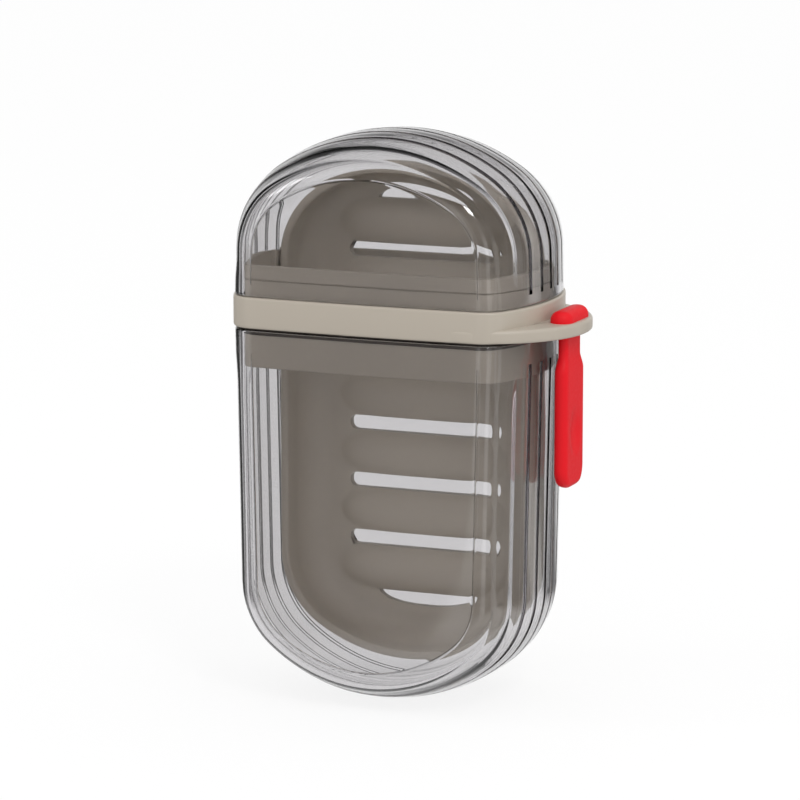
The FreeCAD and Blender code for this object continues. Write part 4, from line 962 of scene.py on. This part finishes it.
class SOAPBOX_OT_stage(bpy.types.Operator):
    """Builds the floor, the lights and the camera"""

    bl_idname = "soapbox.stage"
    bl_label = "Studio stage"

    flag_share = 0.05
    shell_gain = 1.75
    floor_light = 0.7
    narrow_way, wide_way = math.radians(6.5), math.radians(28.0)
    key_way = (0.62, -0.32, 0.72)
    glow_share = 0.85
    # Ranges: from least, from most, to least and to most, which are zero and one where they aren't given
    key_range = (-0.6, 1.0, 0.5, 1.25)
    sky_range = (0.2, 0.45, 0.0, 0.8)
    floor_range = (0.08, 0.11)

    def execute(self, context):
        scene = context.scene
        scene.view_settings.view_transform = "Standard"
        self.make_world(scene)
        self.make_floor(scene)
        self.make_lamps(scene)
        self.make_camera(scene)
        return {"FINISHED"}

    def backdrop_strength(self, tree, light, dark):
        """How bright a ray finds the backdrop.

        The camera sees white. Reflections and refractions see white between dark flags. Rays that light a
        matt surface find the plain level of the light, and through a clear shell one that makes up for its
        loss.
        """
        path = add_node(tree, "ShaderNodeLightPath").outputs
        through = path["Is Transmission Ray"]
        clear_rays = {0: path["Is Glossy Ray"], 1: through}
        clear = add_node(tree, "ShaderNodeMath", {"operation": "MAXIMUM"}, clear_rays)
        before_matt = {0: path["Diffuse Depth"], 1: 0.5}
        direct = add_node(tree, "ShaderNodeMath", {"operation": "LESS_THAN"}, before_matt)
        seen = add_node(tree, "ShaderNodeMath", {"operation": "MULTIPLY"}, {0: clear, 1: direct})
        flagged = add_node(tree, "ShaderNodeMix", {}, {0: dark, 2: 1.0, 3: self.flag_share})
        made_up = add_node(tree, "ShaderNodeMix", {}, {0: through, 2: 1.0, 3: self.shell_gain})
        level = add_node(tree, "ShaderNodeMath", {"operation": "MULTIPLY"}, {0: light, 1: made_up})
        plain = add_node(tree, "ShaderNodeMix", {}, {0: seen, 2: level, 3: flagged})
        return add_node(tree, "ShaderNodeMix", {}, {0: path["Is Camera Ray"], 2: plain, 3: 1.0})

    def flag_mask(self, tree, place):
        """One in the sectors where dark flags stand and zero in the open ways behind the box, by bearing.

        Narrow ways lie at each eighth of a turn, and a wide one behind the box as the photograph shows it.
        """
        axes = add_node(tree, "ShaderNodeSeparateXYZ", {}, {0: place}).outputs
        left = add_node(tree, "ShaderNodeMath", {"operation": "MULTIPLY"}, {0: axes["X"], 1: -1.0})
        bearing = add_node(tree, "ShaderNodeMath", {"operation": "ARCTAN2"}, {0: left, 1: axes["Y"]})
        by_eighth = add_node(tree, "ShaderNodeMath", {"operation": "PINGPONG"}, {0: bearing, 1: math.pi / 8})
        by_photo = bearing
        for operation, value in (
            ("SUBTRACT", VIEW_AZIMUTH),
            ("ABSOLUTE", 0.0),
            ("MULTIPLY", self.narrow_way / self.wide_way),
        ):
            by_photo = add_node(tree, "ShaderNodeMath", {"operation": operation}, {0: by_photo, 1: value})
        nearest = add_node(tree, "ShaderNodeMath", {"operation": "MINIMUM"}, {0: by_eighth, 1: by_photo})
        blend = math.radians(2.0)
        edge = (nearest, self.narrow_way, self.narrow_way + blend)
        return add_node(tree, "ShaderNodeMapRange", {}, dict(enumerate(edge)))

    def make_world(self, scene):
        """Soft light from above, and a white backdrop with dark flags low round the box and a darker sky."""
        world = bpy.data.worlds.new("plain_studio")
        scene.world = world
        world.use_nodes = True
        tree = world.node_tree
        tree.nodes.clear()
        way = add_node(tree, "ShaderNodeTexCoord").outputs["Generated"]
        rise = add_node(tree, "ShaderNodeSeparateXYZ", {}, {0: way}).outputs["Z"]
        ways = {0: way, 1: self.key_way}
        to_key = add_node(tree, "ShaderNodeVectorMath", {"operation": "DOT_PRODUCT"}, ways).outputs["Value"]
        light = add_node(tree, "ShaderNodeMapRange", {}, dict(enumerate((to_key, *self.key_range))))
        sky = add_node(tree, "ShaderNodeMapRange", {}, dict(enumerate((rise, *self.sky_range))))
        flags = self.flag_mask(tree, way)
        dark = add_node(tree, "ShaderNodeMath", {"operation": "MAXIMUM"}, {0: flags, 1: sky})
        strength = self.backdrop_strength(tree, light, dark)
        backdrop = add_node(tree, "ShaderNodeBackground", {}, {"Color": (1, 1, 1, 1), "Strength": strength})
        add_node(tree, "ShaderNodeOutputWorld", {}, {"Surface": backdrop})

    def make_floor(self, scene):
        """Large pale floor under the lowest point of the box that keeps the object's shadow."""
        material, tree = new_material("pale_studio_floor")
        place = add_node(tree, "ShaderNodeTexCoord").outputs["Object"]
        length = add_node(tree, "ShaderNodeVectorMath", {"operation": "LENGTH"}, {0: place}).outputs["Value"]
        away = add_node(tree, "ShaderNodeMapRange", {}, dict(enumerate((length, *self.floor_range))))
        flags = self.flag_mask(tree, place)
        dark = add_node(tree, "ShaderNodeMath", {"operation": "MULTIPLY"}, {0: flags, 1: away})
        strength = self.backdrop_strength(tree, self.floor_light, dark)
        lit = add_node(tree, "ShaderNodeBsdfDiffuse", {}, {"Color": scene.soap_box_colours.floor})
        glow = add_node(tree, "ShaderNodeEmission", {}, {"Color": (1, 1, 1, 1), "Strength": strength})
        surface = add_node(tree, "ShaderNodeMixShader", {}, {0: self.glow_share, 1: lit, 2: glow})
        add_node(tree, "ShaderNodeOutputMaterial", {}, {"Surface": surface})
        reach = 40.0
        mesh = bpy.data.meshes.new("floor")
        corners = [(x * reach, y * reach, 0) for x, y in ((-1, -1), (1, -1), (1, 1), (-1, 1))]
        mesh.from_pydata(corners, [], [(0, 1, 2, 3)])
        mesh.materials.append(material)
        floor = bpy.data.objects.new("floor", mesh)
        scene.collection.objects.link(floor)

    def make_lamps(self, scene):
        """Two soft boxes: a key from the upper right in front and a fill from the left."""
        target = np.array([0.0, 0.0, 0.07])
        for name, place, size, power in (
            ("key_light", (0.75, -0.8, 1.2), 0.3, 5.0),
            ("fill_light", (-0.9, -0.5, 0.7), 0.3, 1.2),
        ):
            lamp = bpy.data.lights.new(name, "AREA")
            lamp.shape = "SQUARE"
            lamp.size = size
            lamp.energy = power
            holder = bpy.data.objects.new(name, lamp)
            holder.location = place
            aim = Vector(target - np.array(place))
            holder.rotation_euler = aim.to_track_quat("-Z", "Y").to_euler()
            scene.collection.objects.link(holder)

    def make_camera(self, scene):
        """Camera at the fitted angle, 1 m from the middle of the band and aimed lower to frame it all."""
        azimuth, elevation = VIEW_AZIMUTH, math.radians(9.30)
        middle = np.array([MIDDLE_X, 0.0, BOX_HEIGHT + BAND_HEIGHT / 2]) * MM
        level_way = np.array([math.sin(azimuth), -math.cos(azimuth), 0.0])
        up_way = np.array([0.0, 0.0, 1.0])
        back = level_way * math.cos(elevation) + up_way * math.sin(elevation)
        up = up_way * math.cos(elevation) - level_way * math.sin(elevation)
        distance, aim_drop = 1.0, 22.13 * MM
        data = bpy.data.cameras.new("camera")
        data.lens = 191.1
        data.sensor_width = 36.0
        data.clip_start, data.clip_end = 0.05, 200.0
        camera = bpy.data.objects.new("camera", data)
        place = middle + distance * back
        aim = middle - aim_drop * up - place
        camera.location = place
        camera.rotation_euler = Vector(aim).to_track_quat("-Z", "Y").to_euler()
        scene.collection.objects.link(camera)
        scene.camera = camera


class SOAPBOX_PT_panel(bpy.types.Panel):
    """Lists the pieces, their sizes and their colours"""

    bl_idname = "SOAPBOX_PT_panel"
    bl_label = "Soap box"
    bl_space_type = "VIEW_3D"
    bl_region_type = "UI"
    bl_category = "Soap box"

    def draw(self, context):
        for group in (context.scene.soap_box_sizes, context.scene.soap_box_colours):
            for name in group.__annotations__:
                self.layout.prop(group, name)
        for operator in OPERATORS:
            self.layout.operator(operator.bl_idname)


GROUPS = (SoapBoxSizes, SoapBoxColours)
OPERATORS = (SOAPBOX_OT_shells, SOAPBOX_OT_band, SOAPBOX_OT_tray, SOAPBOX_OT_strap, SOAPBOX_OT_stage)


def register():
    """Registers the classes and hangs the property groups on the scene."""
    for item in (*GROUPS, *OPERATORS, SOAPBOX_PT_panel):
        bpy.utils.register_class(item)
    bpy.types.Scene.soap_box_sizes = bpy.props.PointerProperty(type=SoapBoxSizes)
    bpy.types.Scene.soap_box_colours = bpy.props.PointerProperty(type=SoapBoxColours)


def unregister():
    """Takes the property groups and the classes away again."""
    del bpy.types.Scene.soap_box_sizes
    del bpy.types.Scene.soap_box_colours
    for item in (SOAPBOX_PT_panel, *reversed(OPERATORS), *reversed(GROUPS)):
        bpy.utils.unregister_class(item)


def main():
    register()
    bpy.ops.soapbox.shells()
    bpy.ops.soapbox.band()
    bpy.ops.soapbox.tray()
    bpy.ops.soapbox.strap()
    bpy.ops.soapbox.stage()


if __name__ == "__main__":
    main()
